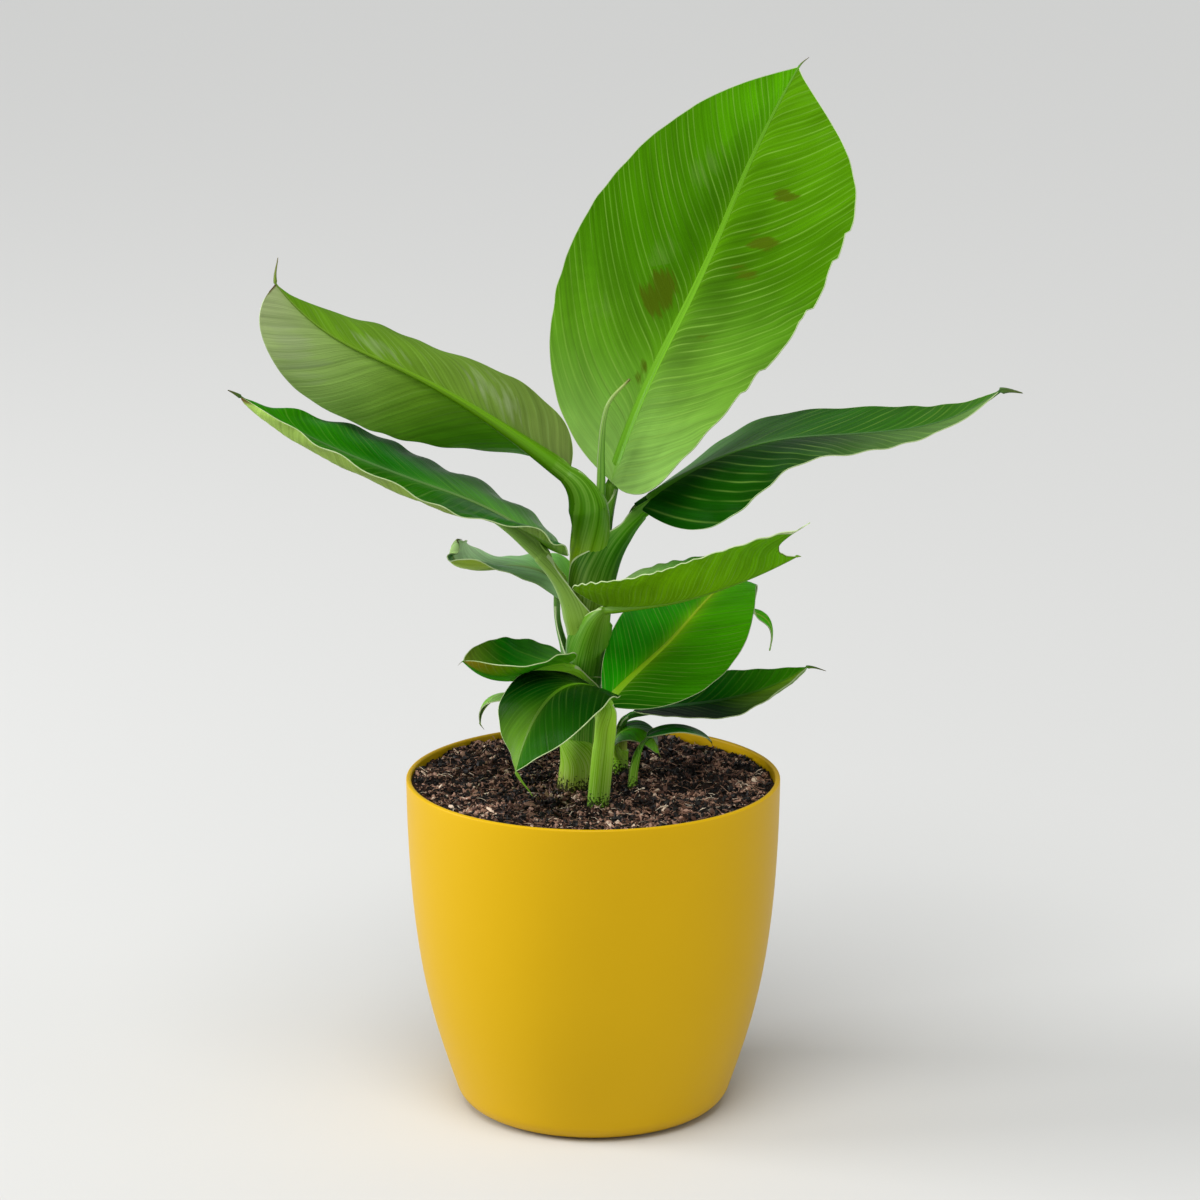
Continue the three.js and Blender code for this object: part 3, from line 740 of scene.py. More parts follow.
# %% Sheaths
SHEATHS = {
    "rear_low_leaf": {"leaves": 205, "grip": [0.5, 0.3], "radii": [8, 5, 2.2],
                      "wrap": [165, 150, 110, 90, 85], "free": 222},
    "lower_left_leaf": {"leaves": 222, "grip": [0.5, 0.3], "radii": [10, 6, 3.5],
                        "wrap": [163, 153, 155, 103, 120], "free": 262},
    "rear_left_leaf": {"leaves": 240, "grip": [0.3, 0.45], "radii": [6.5, 2.9, 2],
                       "wrap": [165, 150, 110, 90, 85], "free": 272},
    "front_right_leaf": {"leaves": 240, "grip": [0.6, 0.08], "radii": [11.5, 7.5, 2.4],
                         "wrap": [165, 163, 170, 140, 120], "free": 298,
                         "taper": [1, 0.4, 0.3, 0.26, 0.24, 0.2, 0.15]},
    "middle_left_leaf": {"leaves": 262.8, "grip": [0.54, 0.21], "radii": [11.8, 8.2, 5.4],
                         "wrap": [159, 133, 92, 88, 120], "free": 312,
                         "taper": [1, 0.5, 0.32, 0.24, 0.18, 0.13, 0.1]},
    "right_leaf": {"leaves": 294.8, "grip": [0.53, 0.21], "radii": [11.8, 9.6, 5.8],
                   "wrap": [155, 150, 128, 95, 130], "free": 338,
                   "taper": [1, 0.5, 0.34, 0.26, 0.2, 0.16, 0.13]},
    "upper_left_leaf": {"leaves": 313.5, "grip": [0.34, 0.33], "radii": [10.8, 11.6, 5.2],
                        "wrap": [165, 160, 148, 130, 115], "free": 372,
                        "taper": [1, 0.74, 0.58, 0.44, 0.32, 0.2, 0.13, 0.1, 0.1]},
    "top_leaf": {"leaves": 319, "grip": [0.46, 0.33], "radii": [11, 7.5, 3.4],
                 "wrap": [165, 165, 160, 145, 95], "free": 380},
    "hanging_sucker_leaf": {"leaves": 226, "grip": [0.45, 0.3], "radii": [5.4, 4.4, 3],
                            "wrap": [165, 140, 110, 95, 90], "free": 246},
    "round_sucker_leaf": {"leaves": 234, "grip": [0.45, 0.3], "radii": [5, 4, 2.5],
                          "wrap": [165, 140, 110, 95, 90], "free": 250,
                          "taper": [1, 0.58, 0.44, 0.34, 0.28, 0.22, 0.18, 0.16, 0.12]},
    "arched_sucker_leaf": {"leaves": 198, "grip": [0.4, 0.3], "radii": [3.6, 2.6, 1.5],
                           "wrap": [160, 130, 110, 95, 90], "free": 210},
    "long_sucker_leaf": {"leaves": 204, "grip": [0.5, 0.4], "radii": [4, 3.1, 2.2],
                         "wrap": [165, 140, 110, 95, 90], "free": 224},
    "small_sucker_leaf": {"leaves": 206, "grip": [0.4, 0.3], "radii": [2.3, 1.9, 1.3],
                          "wrap": [165, 140, 110, 95, 90], "free": 220},
}
SHEATH_PITCH = 1.0
SHEATH_WALL = 0.9
MARGIN_WALL = 0.45


def sheaths_of(stem_name):
    """The leaves of a stem, from the outermost sheath to the innermost."""
    return [name for name in SHEATHS if LEAVES[name]["stem"] == stem_name]


for stem_name in STEMS:
    print(stem_name, "carries", sheaths_of(stem_name))


# %% Curves
def smooth(x, low, high):
    """0 below low, 1 above high, with a soft start and end."""
    t = np.clip((np.asarray(x, float) - low) / (high - low), 0, 1)
    return t * t * (3 - 2 * t)


def station(values, share):
    """The value at a share of a list given at even stations."""
    return np.interp(share, np.linspace(0, 1, len(values)), values)


def eased(values, share):
    """As station, with the corners between stations rounded off."""
    offsets = np.linspace(-0.07, 0.07, 7)
    return np.mean([station(values, np.asarray(share) + d) for d in offsets], 0)


def heading(rise, turn):
    """Unit vectors at an angle above level and a compass angle, in degrees."""
    e, a = np.radians(rise), np.radians(turn)
    return np.stack([np.cos(e) * np.cos(a), np.cos(e) * np.sin(a), np.sin(e)], -1)


def catmull(points, count):
    """A smooth curve through points, the same one that the part's source draws."""
    p = np.asarray(points, float)
    p = np.vstack([2 * p[0] - p[1], p, 2 * p[-1] - p[-2]])
    t = np.linspace(0, len(p) - 3, count)
    i = np.minimum(t.astype(int), len(p) - 4)
    w = (t - i)[:, None]
    before, a, b, after = p[i], p[i + 1], p[i + 2], p[i + 3]
    slope_a, slope_b = (b - before) / 2, (after - a) / 2
    square = 3 * (b - a) - 2 * slope_a - slope_b
    cube = 2 * (a - b) + slope_a + slope_b
    return ((cube * w + square) * w + slope_a) * w + a


def stem_middle(stem, height):
    """The point of a stem's middle at each height."""
    curve = catmull(stem["points"], 200)
    xy = [np.interp(height, curve[:, 2], curve[:, k]) for k in (0, 1)]
    return np.stack([*xy, np.asarray(height, float)], -1)


def stem_radius(stem, height):
    """A stem's radius at each height."""
    return np.interp(height, np.array(stem["points"])[:, 2], stem["radii"])


def unit(v):
    """Vectors of length one along the given ones."""
    return v / np.linalg.norm(v, axis=-1, keepdims=True)


print("main stem at 240 mm:", stem_middle(STEMS["main_stem"], 240.0).round(2))


# %% [markdown]
# ## The rib and the blade
#
# The rib is walked in short steps, each in the direction that its rise and turn give. At each
# share of its length a frame stands on it: across, towards the right half, and up, away from the
# underside. Both the stalk and the blade are drawn in this frame, so they always meet.

# %% Rib and blade surface
def rib_frame(leaf, shares):
    """Points of the rib at shares of its length, with the directions along, across and up."""
    fine = np.linspace(0, 1, 401)
    halfway = (fine[1:] + fine[:-1]) / 2
    steps = heading(eased(leaf["rise"], halfway), eased(leaf["turn"], halfway)) * leaf["length"] / 400
    line = np.vstack([[0, 0, 0], np.cumsum(steps, 0)]) + leaf["base"]
    points = np.stack([np.interp(shares, fine, line[:, k]) for k in range(3)], -1)
    along = heading(eased(leaf["rise"], shares), eased(leaf["turn"], shares))
    turn = np.radians(eased(leaf["turn"], shares))
    flat = np.stack([np.sin(turn), -np.cos(turn), 0 * turn], -1)
    upright = np.cross(flat, along)
    roll = np.radians(eased(leaf["roll"], shares))[:, None]
    across = flat * np.cos(roll) + upright * np.sin(roll)
    up = upright * np.cos(roll) - flat * np.sin(roll)
    return points, along, across, up


def outline(half, s):
    """The share of the half width at share s of the blade."""
    before = np.clip(1 - ((half["widest"] - s) / half["widest"]) ** 2, 0, 1) ** half["shoulder"]
    after = np.clip(1 - ((s - half["widest"]) / (1 - half["widest"])) ** 2, 0, 1) ** half["point"]
    return np.where(s < half["widest"], before, after)


def across_half(half, s, out, width):
    """Sideways and upward distance of a point that lies out mm from the rib on a half of this width."""
    fold = np.radians(eased(half["fold"], s))
    curl = np.radians(eased(half["curl"], s))
    curl = np.where(np.abs(curl) < 1e-3, 1e-3, curl)
    v = out / np.maximum(width, 1e-6)
    sideways = width * (np.sin(fold + curl * v) - np.sin(fold)) / curl
    upward = width * (np.cos(fold) - np.cos(fold + curl * v)) / curl
    return sideways, upward


tip = rib_frame(LEAVES["top_leaf"], np.array([1.0]))[0][0]
print("the top leaf's tip stands", tip[2].round(1), "mm high")


# %% [markdown]
# ## Sheath, stalk and rib as one piece
#
# On the plant these are one organ, so they are one tube here. Its section changes on the way up: a
# thin wall round the younger sheaths, then a thick gutter open above, then a solid rib that is
# round below and follows the blade on top. A bevelled curve can't change its section like that,
# so each row of a grid is one closed section: an outer arc, and an inner line back again.

# %% Layers of sheaths
SHEATH_CLEARANCE = 0.8


def layers_outside(name, height):
    """How many older sheaths lie round this one at a height."""
    order = sheaths_of(LEAVES[name]["stem"])
    ends = [SHEATHS[older]["free"] for older in order[:order.index(name)]]
    return sum(1 - smooth(height, end - 14, end + 4) for end in ends)


def clear_of_younger(name, points):
    """Moves points of a sheath outwards where they would lie in the younger sheaths."""
    stem = STEMS[LEAVES[name]["stem"]]
    order = sheaths_of(LEAVES[name]["stem"])
    if name == order[-1]:
        return points
    younger = order[order.index(name) + 1]
    z = points[..., 2]
    top = stem["points"][-1][2]
    inner = stem_radius(stem, z) - SHEATH_PITCH * layers_outside(younger, z)
    inner = inner * np.clip(1 - (z - top) / 30, 0, 1)
    middle = stem_middle(stem, z)[..., :2]
    away = points[..., :2] - middle
    distance = np.linalg.norm(away, axis=-1)
    wanted = np.maximum(distance, inner + SHEATH_CLEARANCE)
    moved = points.copy()
    moved[..., :2] = middle + away * (wanted / np.maximum(distance, 1e-6))[..., None]
    return moved


for height in (200, 250, 300, 350):
    layers = 1 + float(layers_outside("top_leaf", height))
    print("sheaths round the heart at", height, "mm:", round(layers, 1))

# %% Rows of a stalk
STEM_STEP = 3.0
STALK_STEP = 1.6
# How far the round back of a rib reaches up past the blade it carries.
RIB_SINK = 0.4


def rib_flat(leaf):
    """The level direction across a leaf's rib where the blade begins."""
    turn = math.radians(leaf["turn"][0])
    return np.array([math.sin(turn), -math.cos(turn), 0])


def stalk_rows(name):
    """The rows of a leaf's stalk from the soil to the blade: centre, across, up, and their sizes."""
    leaf, sheath = LEAVES[name], SHEATHS[name]
    stem = STEMS[leaf["stem"]]
    foot = stem["points"][0][2]
    heights = np.arange(foot, sheath["leaves"], STEM_STEP)
    start, above = stem_middle(stem, np.array([sheath["leaves"], sheath["leaves"] + 1.0]))
    rib_points, rib_along, _, rib_up = rib_frame(leaf, np.array([0.0]))
    radii = [stem_radius(stem, sheath["leaves"]), *sheath["radii"]]
    end = rib_points[0] - rib_up[0] * (radii[-1] - RIB_SINK)
    distance = np.linalg.norm(rib_points[0] - start)
    grip_low, grip_high = (g * distance for g in sheath["grip"])
    t = np.linspace(0, 1, max(int(distance / STALK_STEP), 16))
    free = bezier(start, start + unit(above - start) * grip_low, end - rib_along[0] * grip_high, end, t)
    centre = np.vstack([stem_middle(stem, heights), free])
    t = np.concatenate([0 * heights, t])
    radius = np.concatenate([stem_radius(stem, heights), station(radii, t[len(heights):])])
    radius = np.maximum(radius - SHEATH_PITCH * layers_outside(name, centre[:, 2]), 1.3)
    along = unit(np.gradient(centre, axis=0))
    across = unit(rib_flat(leaf) - (along @ rib_flat(leaf))[:, None] * along)
    up = np.cross(across, along)
    roll = np.radians(leaf["roll"][0]) * smooth(t, 0.2, 1)[:, None]
    across, up = across * np.cos(roll) + up * np.sin(roll), up * np.cos(roll) - across * np.sin(roll)
    wrap = eased(sheath["wrap"], t)
    return {"centre": centre, "across": across, "up": up, "radius": radius, "wrap": wrap, "t": t}


print("rows of the top leaf's stalk:", len(stalk_rows("top_leaf")["t"]))

# %% Sections of sheath and stalk
ARC_POINTS = 25
ARC_EDGE = 0.7
BLADE_THICKNESS = 0.55
RIB_PROUD = 0.1
RIB_CROWN = 0.12
# How deep the flesh of a stalk or rib is at its back, as a share of its radius.
FLESH = 0.62


def arc_angles(wrap, radius):
    """Angles round each section, in radians, with a narrow last step at both margins."""
    edge = np.clip(ARC_EDGE / (radius * np.radians(wrap)), 0.02, 0.3)[:, None]
    inner = np.linspace(-1, 1, ARC_POINTS - 2)
    margin = np.ones((len(wrap), 1))
    shares = np.concatenate([-margin, inner * (1 - edge), margin], 1)
    return shares, np.radians(wrap)[:, None] * shares


def outwards(angles, across, up):
    """The direction from a section's middle at each angle from its back, row by row."""
    return np.sin(angles)[..., None] * across[:, None] - np.cos(angles)[..., None] * up[:, None]


def wall_at(shares, back):
    """The wall's thickness, thinning from the back of a section to its margins."""
    return MARGIN_WALL + (back - MARGIN_WALL) * np.cos(shares * math.pi / 2) ** 1.4


def closed_section(outer, inner):
    """One line of points out along the outer arc and back along the inner one."""
    return np.concatenate([outer, inner[:, ::-1], outer[:, :1]], 1)


def top_offsets(name, s, radius, angles):
    """Sideways and upward distance from the rib's line of its top, which follows the blade."""
    leaf = LEAVES[name]
    reach = radius[:, None] * np.sin(angles)
    sideways = np.zeros_like(reach)
    upward = np.zeros_like(reach)
    for sign, half in ((-1, leaf["left"]), (1, leaf["right"])):
        width = np.maximum(leaf["half_width"] * outline(half, s), 3 * radius)[:, None]
        out, lift = across_half(half, s[:, None], np.abs(reach), width)
        here = np.sign(reach) == sign
        sideways = np.where(here, sign * out, sideways)
        upward = np.where(here, lift, upward)
    crown = RIB_CROWN * radius[:, None] * np.cos(angles) ** 2
    return sideways, upward + BLADE_THICKNESS / 2 + RIB_PROUD + crown


def stalk_top(name, rows, angles):
    """The rib's top line carried back onto the rows of the stalk."""
    zero = np.zeros(len(angles))
    sideways, height = top_offsets(name, zero, rows["radius"], angles)
    lift = rows["radius"][:, None] - RIB_SINK + height
    return (rows["centre"][:, None] + sideways[..., None] * rows["across"][:, None]
            + lift[..., None] * rows["up"][:, None])


def sheath_sections(name):
    """Closed sections of the sheath and stalk, the hollow closing towards the blade."""
    rows = stalk_rows(name)
    shares, angles = arc_angles(rows["wrap"], rows["radius"])
    out = outwards(angles, rows["across"], rows["up"])
    outer = clear_of_younger(name, rows["centre"][:, None] + rows["radius"][:, None, None] * out)
    freed = smooth(rows["t"], 0.1, 0.75)[:, None]
    back = SHEATH_WALL + (FLESH * rows["radius"][:, None] - SHEATH_WALL) * freed
    inner = outer - wall_at(shares, back)[..., None] * out
    closing = 0.5 * smooth(rows["t"], 0.8, 1.0)[:, None, None]
    inner = inner * (1 - closing) + stalk_top(name, rows, angles) * closing
    return closed_section(outer, inner), rows


sections, rows = sheath_sections("top_leaf")
print("top leaf: sections of", sections.shape[1] - 1, "points; stalk rows", len(sections))

# %% Sections of rib and thread
RIB_WRAP = 118
RIB_STEP = 2.2
RIB_TAPER = [1, 0.72, 0.55, 0.4, 0.13]
# How stout a thread at a leaf's tip is against the rib's end, and how dry, where it isn't 1 and 1.
TAILS = {"hanging_sucker_leaf": (3.2, 0.1), "right_leaf": (2.6, 0.5), "long_sucker_leaf": (2.4, 0.9),
         "upper_left_leaf": (2.2, 0.8), "front_right_leaf": (1.5, 0.5), "middle_left_leaf": (1.9, 0.7)}


def rib_radius(name, s):
    """The rib's radius at shares of its length."""
    radius = SHEATHS[name]["radii"][-1]
    return np.maximum(radius * eased(SHEATHS[name].get("taper", RIB_TAPER), s), 0.45)


def rib_top(name, s, radius, angles):
    """The points of the rib's top line, on the blade."""
    points, _, across, up = rib_frame(LEAVES[name], s)
    sideways, height = top_offsets(name, s, radius, angles)
    return points[:, None] + sideways[..., None] * across[:, None] + height[..., None] * up[:, None]


def rib_sections(name):
    """Closed sections of the rib, from the blade's base to its tip and on along the dry thread."""
    leaf, sheath = LEAVES[name], SHEATHS[name]
    count = int(leaf["length"] / RIB_STEP)
    s = np.linspace(0, 1, count + 1)[1:] ** 1.2
    radius = rib_radius(name, s)
    points, _, across, up = rib_frame(leaf, s)
    wrap = sheath["wrap"][-1] + (RIB_WRAP - sheath["wrap"][-1]) * smooth(s, 0, 0.06)
    shares, angles = arc_angles(wrap, radius)
    centre = points - up * (radius - RIB_SINK)[:, None]
    out = outwards(angles, across, up)
    outer = centre[:, None] + radius[:, None, None] * out
    hollow = outer - wall_at(shares, FLESH * radius[:, None])[..., None] * out
    closing = (0.5 + 0.5 * smooth(s, 0, 0.05))[:, None, None]
    inner = hollow * (1 - closing) + rib_top(name, s, radius, angles) * closing
    sections = closed_section(outer, inner)
    if "tail" in leaf:
        sections = np.concatenate([sections, thread_sections(leaf, TAILS.get(name, (1, 1))[0], sections[-1])])
    return sections, s


def thread_sections(leaf, stout, last):
    """The rib's last section carried on along the thread that the tip dries to, ever thinner."""
    length, rise, turn = leaf["tail"]
    share = np.linspace(0, 1, 13)[1:]
    middle = last[:-1].mean(0)
    direction = heading(rise, turn)
    sag = np.array([0, 0, -0.12 * length])
    points = middle + share[:, None] * length * direction + (share ** 2)[:, None] * sag
    # It sets out the way the rib ends, and bends to its own direction.
    first = heading(leaf["rise"][-1], leaf["turn"][-1])
    points += (share * (1 - share) ** 2 * length * 0.5)[:, None] * (first - direction)
    shrink = stout * (1 - 0.8 * share)
    return points[:, None] + (last - middle)[None] * shrink[:, None, None]


print("top leaf: rows of rib and thread", len(rib_sections("top_leaf")[0]))

# %% [markdown]
# ## Colours of the leaves
#
# A banana leaf's upper face is a glossy deep green, brighter where the leaf is young; its underside is duller
# and greyer. Each leaf's greens are given at its base, middle and tip for the left and right half of each
# face, or in one list where the halves are alike, and they carry painted light and shade: a half that hangs
# in shade is painted dark, a part that lets light through is painted as a bright glow, and stalk stops that
# lie in shadow are painted lighter to make up for it. They are stored on the points of the mesh, so that one
# material does for all leaves and adds what they share: veins, streaks, gloss and relief. A stalk's greens
# run from the soil to the tip.

# %% Greens of each leaf
# Painted light and shade: dark halves in shade, bright glows and lightened stalk stops are painted into these
# greens.
GREENS_WITH_PAINTED_LIGHT = {
    "top_leaf": {
        "above": [["#91bd5e", "#568c16", "#407b02", "#438003", "#4e9902"],
                  ["#87b158", "#618f2a", "#3b6b03", "#4a8105", "#4c8203"]],
        "below": ["#8aa86a", "#7ba04f", "#76a045"],
        "stalk": ["#669a1e", "#4a7c10", "#1c6402", "#6eac24", "#6cab0a", "#508a06"],
    },
    "upper_left_leaf": {
        "above": [["#4c7a22", "#3f7415", "#3f7012"], ["#5d8a3c", "#4f8020", "#4c7a1c"]],
        "below": [["#6b7d3e", "#638826", "#598a0d"], ["#62b408", "#8abc34", "#9eac78"]],
        "stalk": ["#78983a", "#9ab404", "#488602", "#508a04", "#6c9c0c", "#74982c"],
    },
    "middle_left_leaf": {
        "above": [["#145a08", "#225e03", "#257002"], ["#5c9c36", "#0e6402", "#2e7f02"]],
        "below": [["#3c6a06", "#728937", "#89a74d"], ["#6a8752", "#57764a", "#4f7a30"]],
        "stalk": ["#a0bc18", "#84ac20", "#80a842", "#729a30", "#5c8a4a", "#2a660a"],
    },
    "rear_left_leaf": {
        "above": [["#9ec692", "#7eb772", "#6c9c60"], ["#5aa204", "#9cd88a", "#dcf0c8"]],
        "below": ["#7f9135", "#9ab818", "#98b878"],
        "stalk": ["#5c9408", "#4a8814", "#3f7a18", "#4c8428", "#9cc060", "#8a9c40"],
    },
    "right_leaf": {
        "above": [["#62a846", "#1f5c02", "#366616"], ["#0f4903", "#123c03", "#628b3e"]],
        "below": ["#6f8c5c", "#5e8652", "#4c7337"],
        "stalk": ["#6d9420", "#4c6b02", "#246802", "#5aa004", "#40702c", "#42702c"],
    },
    "front_right_leaf": {
        "above": ["#89a767", "#5cb41c", "#5cb41c"],
        "below": [["#64950b", "#639e04", "#5da404"], ["#67980d", "#67a204", "#5da404"]],
        "stalk": ["#9cd008", "#197202", "#519002", "#64980a", "#62980a", "#68a008"],
    },
    "lower_left_leaf": {
        "above": [["#2a6414", "#0f6202", "#1f5a10"], ["#447e2b", "#046c02", "#748923"]],
        "below": [["#6ccc1a", "#32a803", "#7c6a0a"], ["#3f7a2a", "#196602", "#8a6a2c"]],
        "stalk": ["#78a310", "#479304", "#196902", "#90d80c", "#3fa408", "#3f9c0a"],
    },
    "rear_low_leaf": {
        "above": ["#6fae44", "#7db747", "#7db747"],
        "below": ["#5f8a3c", "#4f8030", "#4f8030"],
        "stalk": ["#865c34", "#97d01c", "#68b106", "#5ea406", "#6f9a3c", "#b8e068"],
    },
    "round_sucker_leaf": {
        "above": [["#1b8f02", "#2fac02", "#4fae06"], ["#034002", "#5dce02", "#3fae04"]],
        "below": ["#5f8c3c", "#4f8030", "#2e8b02"],
        "stalk": ["#5aa002", "#7cb010", "#7fb818", "#6cb00a", "#d4fa20", "#5c9e02"],
    },
    "hanging_sucker_leaf": {
        "above": [["#0e2c02", "#073102", "#225c02"], ["#022202", "#043302", "#5f8d1c"]],
        "below": ["#5b753d", "#4f7030", "#4f7030"],
        "stalk": ["#5c9a02", "#9cdc20", "#a8e424", "#7cc414", "#042402", "#6a981e"],
    },
    "long_sucker_leaf": {
        "above": [["#123f04", "#085002", "#378302"], ["#031402", "#022e02", "#76a21e"]],
        "below": ["#4f7a2a", "#427222", "#7c9c58"],
        "stalk": ["#7da028", "#d0ec50", "#086002", "#1e8002", "#062002", "#529e02"],
    },
    "arched_sucker_leaf": {
        "above": [["#1d6404", "#0e6702", "#1d6b03"], ["#3a8c04", "#3b9a02", "#86d808"]],
        "below": ["#5a8430", "#4f7c28", "#4f7c28"],
        "stalk": ["#84bc0a", "#84cc0a", "#a4ec14", "#98e80c", "#1c6c04", "#a4d820"],
    },
    "small_sucker_leaf": {
        "above": [["#225c08", "#165f04", "#205a0a"], ["#107602", "#0c6e02", "#0c6e02"]],
        "below": ["#4f7a2a", "#4f7a2a", "#4f7a2a"],
        "stalk": ["#6cac10", "#74b018", "#4c9a08", "#1a5c06", "#0a6402", "#086202"],
    },
}


def colour_line(hexes, share):
    """Linear colours at shares of a list of hex colours at even stations."""
    stops = np.array([linear(h) for h in hexes])
    return np.stack([eased(stops[:, k], share) for k in range(4)], -1)


def half_lines(hexes, share):
    """The colours of the left and of the right half, from a list for each or one for both."""
    halves = [hexes, hexes] if isinstance(hexes[0], str) else hexes
    return [colour_line(half, share) for half in halves]


print("the top leaf's green at its middle:", colour_line(GREENS_WITH_PAINTED_LIGHT["top_leaf"]["above"][0], 0.5).round(3))


# %% [markdown]
# ## Material of stalk and rib
#
# A stalk is full of long fibres. It is smooth and waxy with a soft sheen, and fine pale streaks
# run up it, strongest on the oldest sheaths near the soil, where crumbs cling to it as well. The
# streaks follow the stalk's own chart: x goes round it and y along it, so a noise that is squeezed
# in x and drawn out in y runs lengthwise. The thread at the tip has dried to brown.

# %% Stalk material
stalk_skin, tree, shader = new_material("banana_stalk_skin")
chart = add_node(tree, "ShaderNodeUVMap").outputs["UV"]
# The green on the points carries painted light and shade as well as the stalk's own colour.
green_with_painted_light = add_node(tree, "ShaderNodeAttribute", {"attribute_name": "green"}).outputs["Color"]
streaky = add_node(tree, "ShaderNodeAttribute", {"attribute_name": "streaky"}).outputs["Fac"]
dryness = add_node(tree, "ShaderNodeAttribute", {"attribute_name": "dry"}).outputs["Fac"]
# Fibres 0.8 mm apart that run for 110 mm, and broader ones of 3 mm by 140 mm.
lengthwise = add_node(tree, "ShaderNodeMapping", vector=chart, scale=(1250, 9, 1))
fibre_noise = add_node(tree, "ShaderNodeTexNoise", vector=lengthwise.outputs["Vector"], scale=1.0, detail=2.0)
broad = add_node(tree, "ShaderNodeMapping", vector=chart, scale=(300, 7, 1))
broad_noise = add_node(tree, "ShaderNodeTexNoise", vector=broad.outputs["Vector"], scale=1.0, detail=2.0)
shade = add_node(tree, "ShaderNodeMapRange", value=broad_noise.outputs["Fac"],
                 from_min=0.3, from_max=0.7, to_min=0.92, to_max=1.06)
groove = add_node(tree, "ShaderNodeMapRange", value=fibre_noise.outputs["Fac"],
                  from_min=0.32, from_max=0.5, to_min=0.68, to_max=1.0)
both = add_node(tree, "ShaderNodeMath", {"operation": "MULTIPLY"},
                input_0=shade.outputs["Result"], input_1=groove.outputs["Result"])
shaded = add_node(tree, "ShaderNodeMix", {"data_type": "RGBA", "blend_type": "MULTIPLY"}, input_0=1.0,
                  input_6=green_with_painted_light, input_7=both.outputs["Value"])
pale = add_node(tree, "ShaderNodeMapRange", value=fibre_noise.outputs["Fac"],
                from_min=0.42, from_max=0.68, to_min=0.0, to_max=0.85)
pale_share = add_node(tree, "ShaderNodeMath", {"operation": "MULTIPLY"},
                      input_0=pale.outputs["Result"], input_1=streaky)
streaked = add_node(tree, "ShaderNodeMix", {"data_type": "RGBA"}, input_0=pale_share.outputs["Value"],
                    input_6=shaded.outputs[2], input_7=linear("#bcd478"))
# Near the soil, crumbs of 1 mm cling to the skin, fewer the higher up.
near_soil = add_node(tree, "ShaderNodeAttribute", {"attribute_name": "soiled"}).outputs["Fac"]
specks = add_node(tree, "ShaderNodeTexNoise", vector=chart, scale=600.0, detail=3.0, roughness=0.65)
reach = add_node(tree, "ShaderNodeMath", {"operation": "MULTIPLY_ADD"},
                 input_0=near_soil, input_1=0.3, input_2=specks.outputs["Fac"])
clinging = add_node(tree, "ShaderNodeMapRange", value=reach.outputs["Value"],
                    from_min=0.68, from_max=0.72, to_min=0.0, to_max=0.92)
soiled = add_node(tree, "ShaderNodeMix", {"data_type": "RGBA"}, input_0=clinging.outputs["Result"],
                  input_6=streaked.outputs[2], input_7=linear("#170e07"))
dried = add_node(tree, "ShaderNodeMix", {"data_type": "RGBA"}, input_0=dryness,
                 input_6=soiled.outputs[2], input_7=linear("#5c4020"))
tree.links.new(dried.outputs[2], shader.inputs["Base Color"])
bump = add_node(tree, "ShaderNodeBump", strength=0.35, distance=0.0003, height=fibre_noise.outputs["Fac"])
tree.links.new(bump.outputs["Normal"], shader.inputs["Normal"])
shader.inputs["Roughness"].default_value = 0.38
shader.inputs["IOR"].default_value = 1.42
shader.inputs["Specular IOR Level"].default_value = 0.25

# The margin of sheath and blade is a thin, almost colourless seam.
pale_margin, tree, shader = new_material("pale_leaf_margin")
where = add_node(tree, "ShaderNodeTexCoord").outputs["Object"]
mottle = add_node(tree, "ShaderNodeTexNoise", vector=where, scale=160.0, detail=2.0)
colour = add_node(tree, "ShaderNodeMix", {"data_type": "RGBA"}, input_0=mottle.outputs["Fac"],
                  input_6=linear("#7f9f50"), input_7=linear("#cddba8"))
tree.links.new(colour.outputs[2], shader.inputs["Base Color"])
shader.inputs["Roughness"].default_value = 0.5
print("stalk materials done")


# %% [markdown]
# Now each leaf's stalk is made: the sections of sheath and rib follow one another in one grid, the
# grid is closed to a tube, and its thin margins get the pale seam.

# %% Tubes
# Margins are pale above one height, and crumbs cling to the skin up to another.
PALE_ABOVE = 222
SOILED_TO = SOIL_LEVEL + 18


def round_chart(sections):
    """The chart of a tube in mm: x round it from its back, y along it."""
    round_steps = np.linalg.norm(np.diff(sections, axis=1), axis=-1)
    x = np.concatenate([np.zeros((len(sections), 1)), np.cumsum(round_steps, 1)], 1)
    middle = sections[:, :-1].mean(1)
    y = np.concatenate([[0], np.cumsum(np.linalg.norm(np.diff(middle, axis=0), axis=-1))])
    x = x - x[:, ARC_POINTS // 2][:, None]
    return np.stack([x, np.repeat(y[:, None], x.shape[1], 1)], -1)


def close_tube(piece):
    """Joins a tube's last column to its first and fills its two ends."""
    in_edit_mode(piece, merge_doubles, lambda: bpy.ops.mesh.select_all(action="DESELECT"),
                 lambda: bpy.ops.mesh.select_non_manifold(extend=False, use_wire=False, use_multi_face=False,
                                                          use_non_contiguous=False, use_verts=False),
                 lambda: bpy.ops.mesh.fill_holes(sides=0), face_outwards)


def set_slots(piece, slots):
    """Gives each face of a grid its material slot, row by row."""
    piece.data.polygons.foreach_set("material_index", slots.ravel().astype(np.int32))


print("tubes: slots, charts and ends ready")

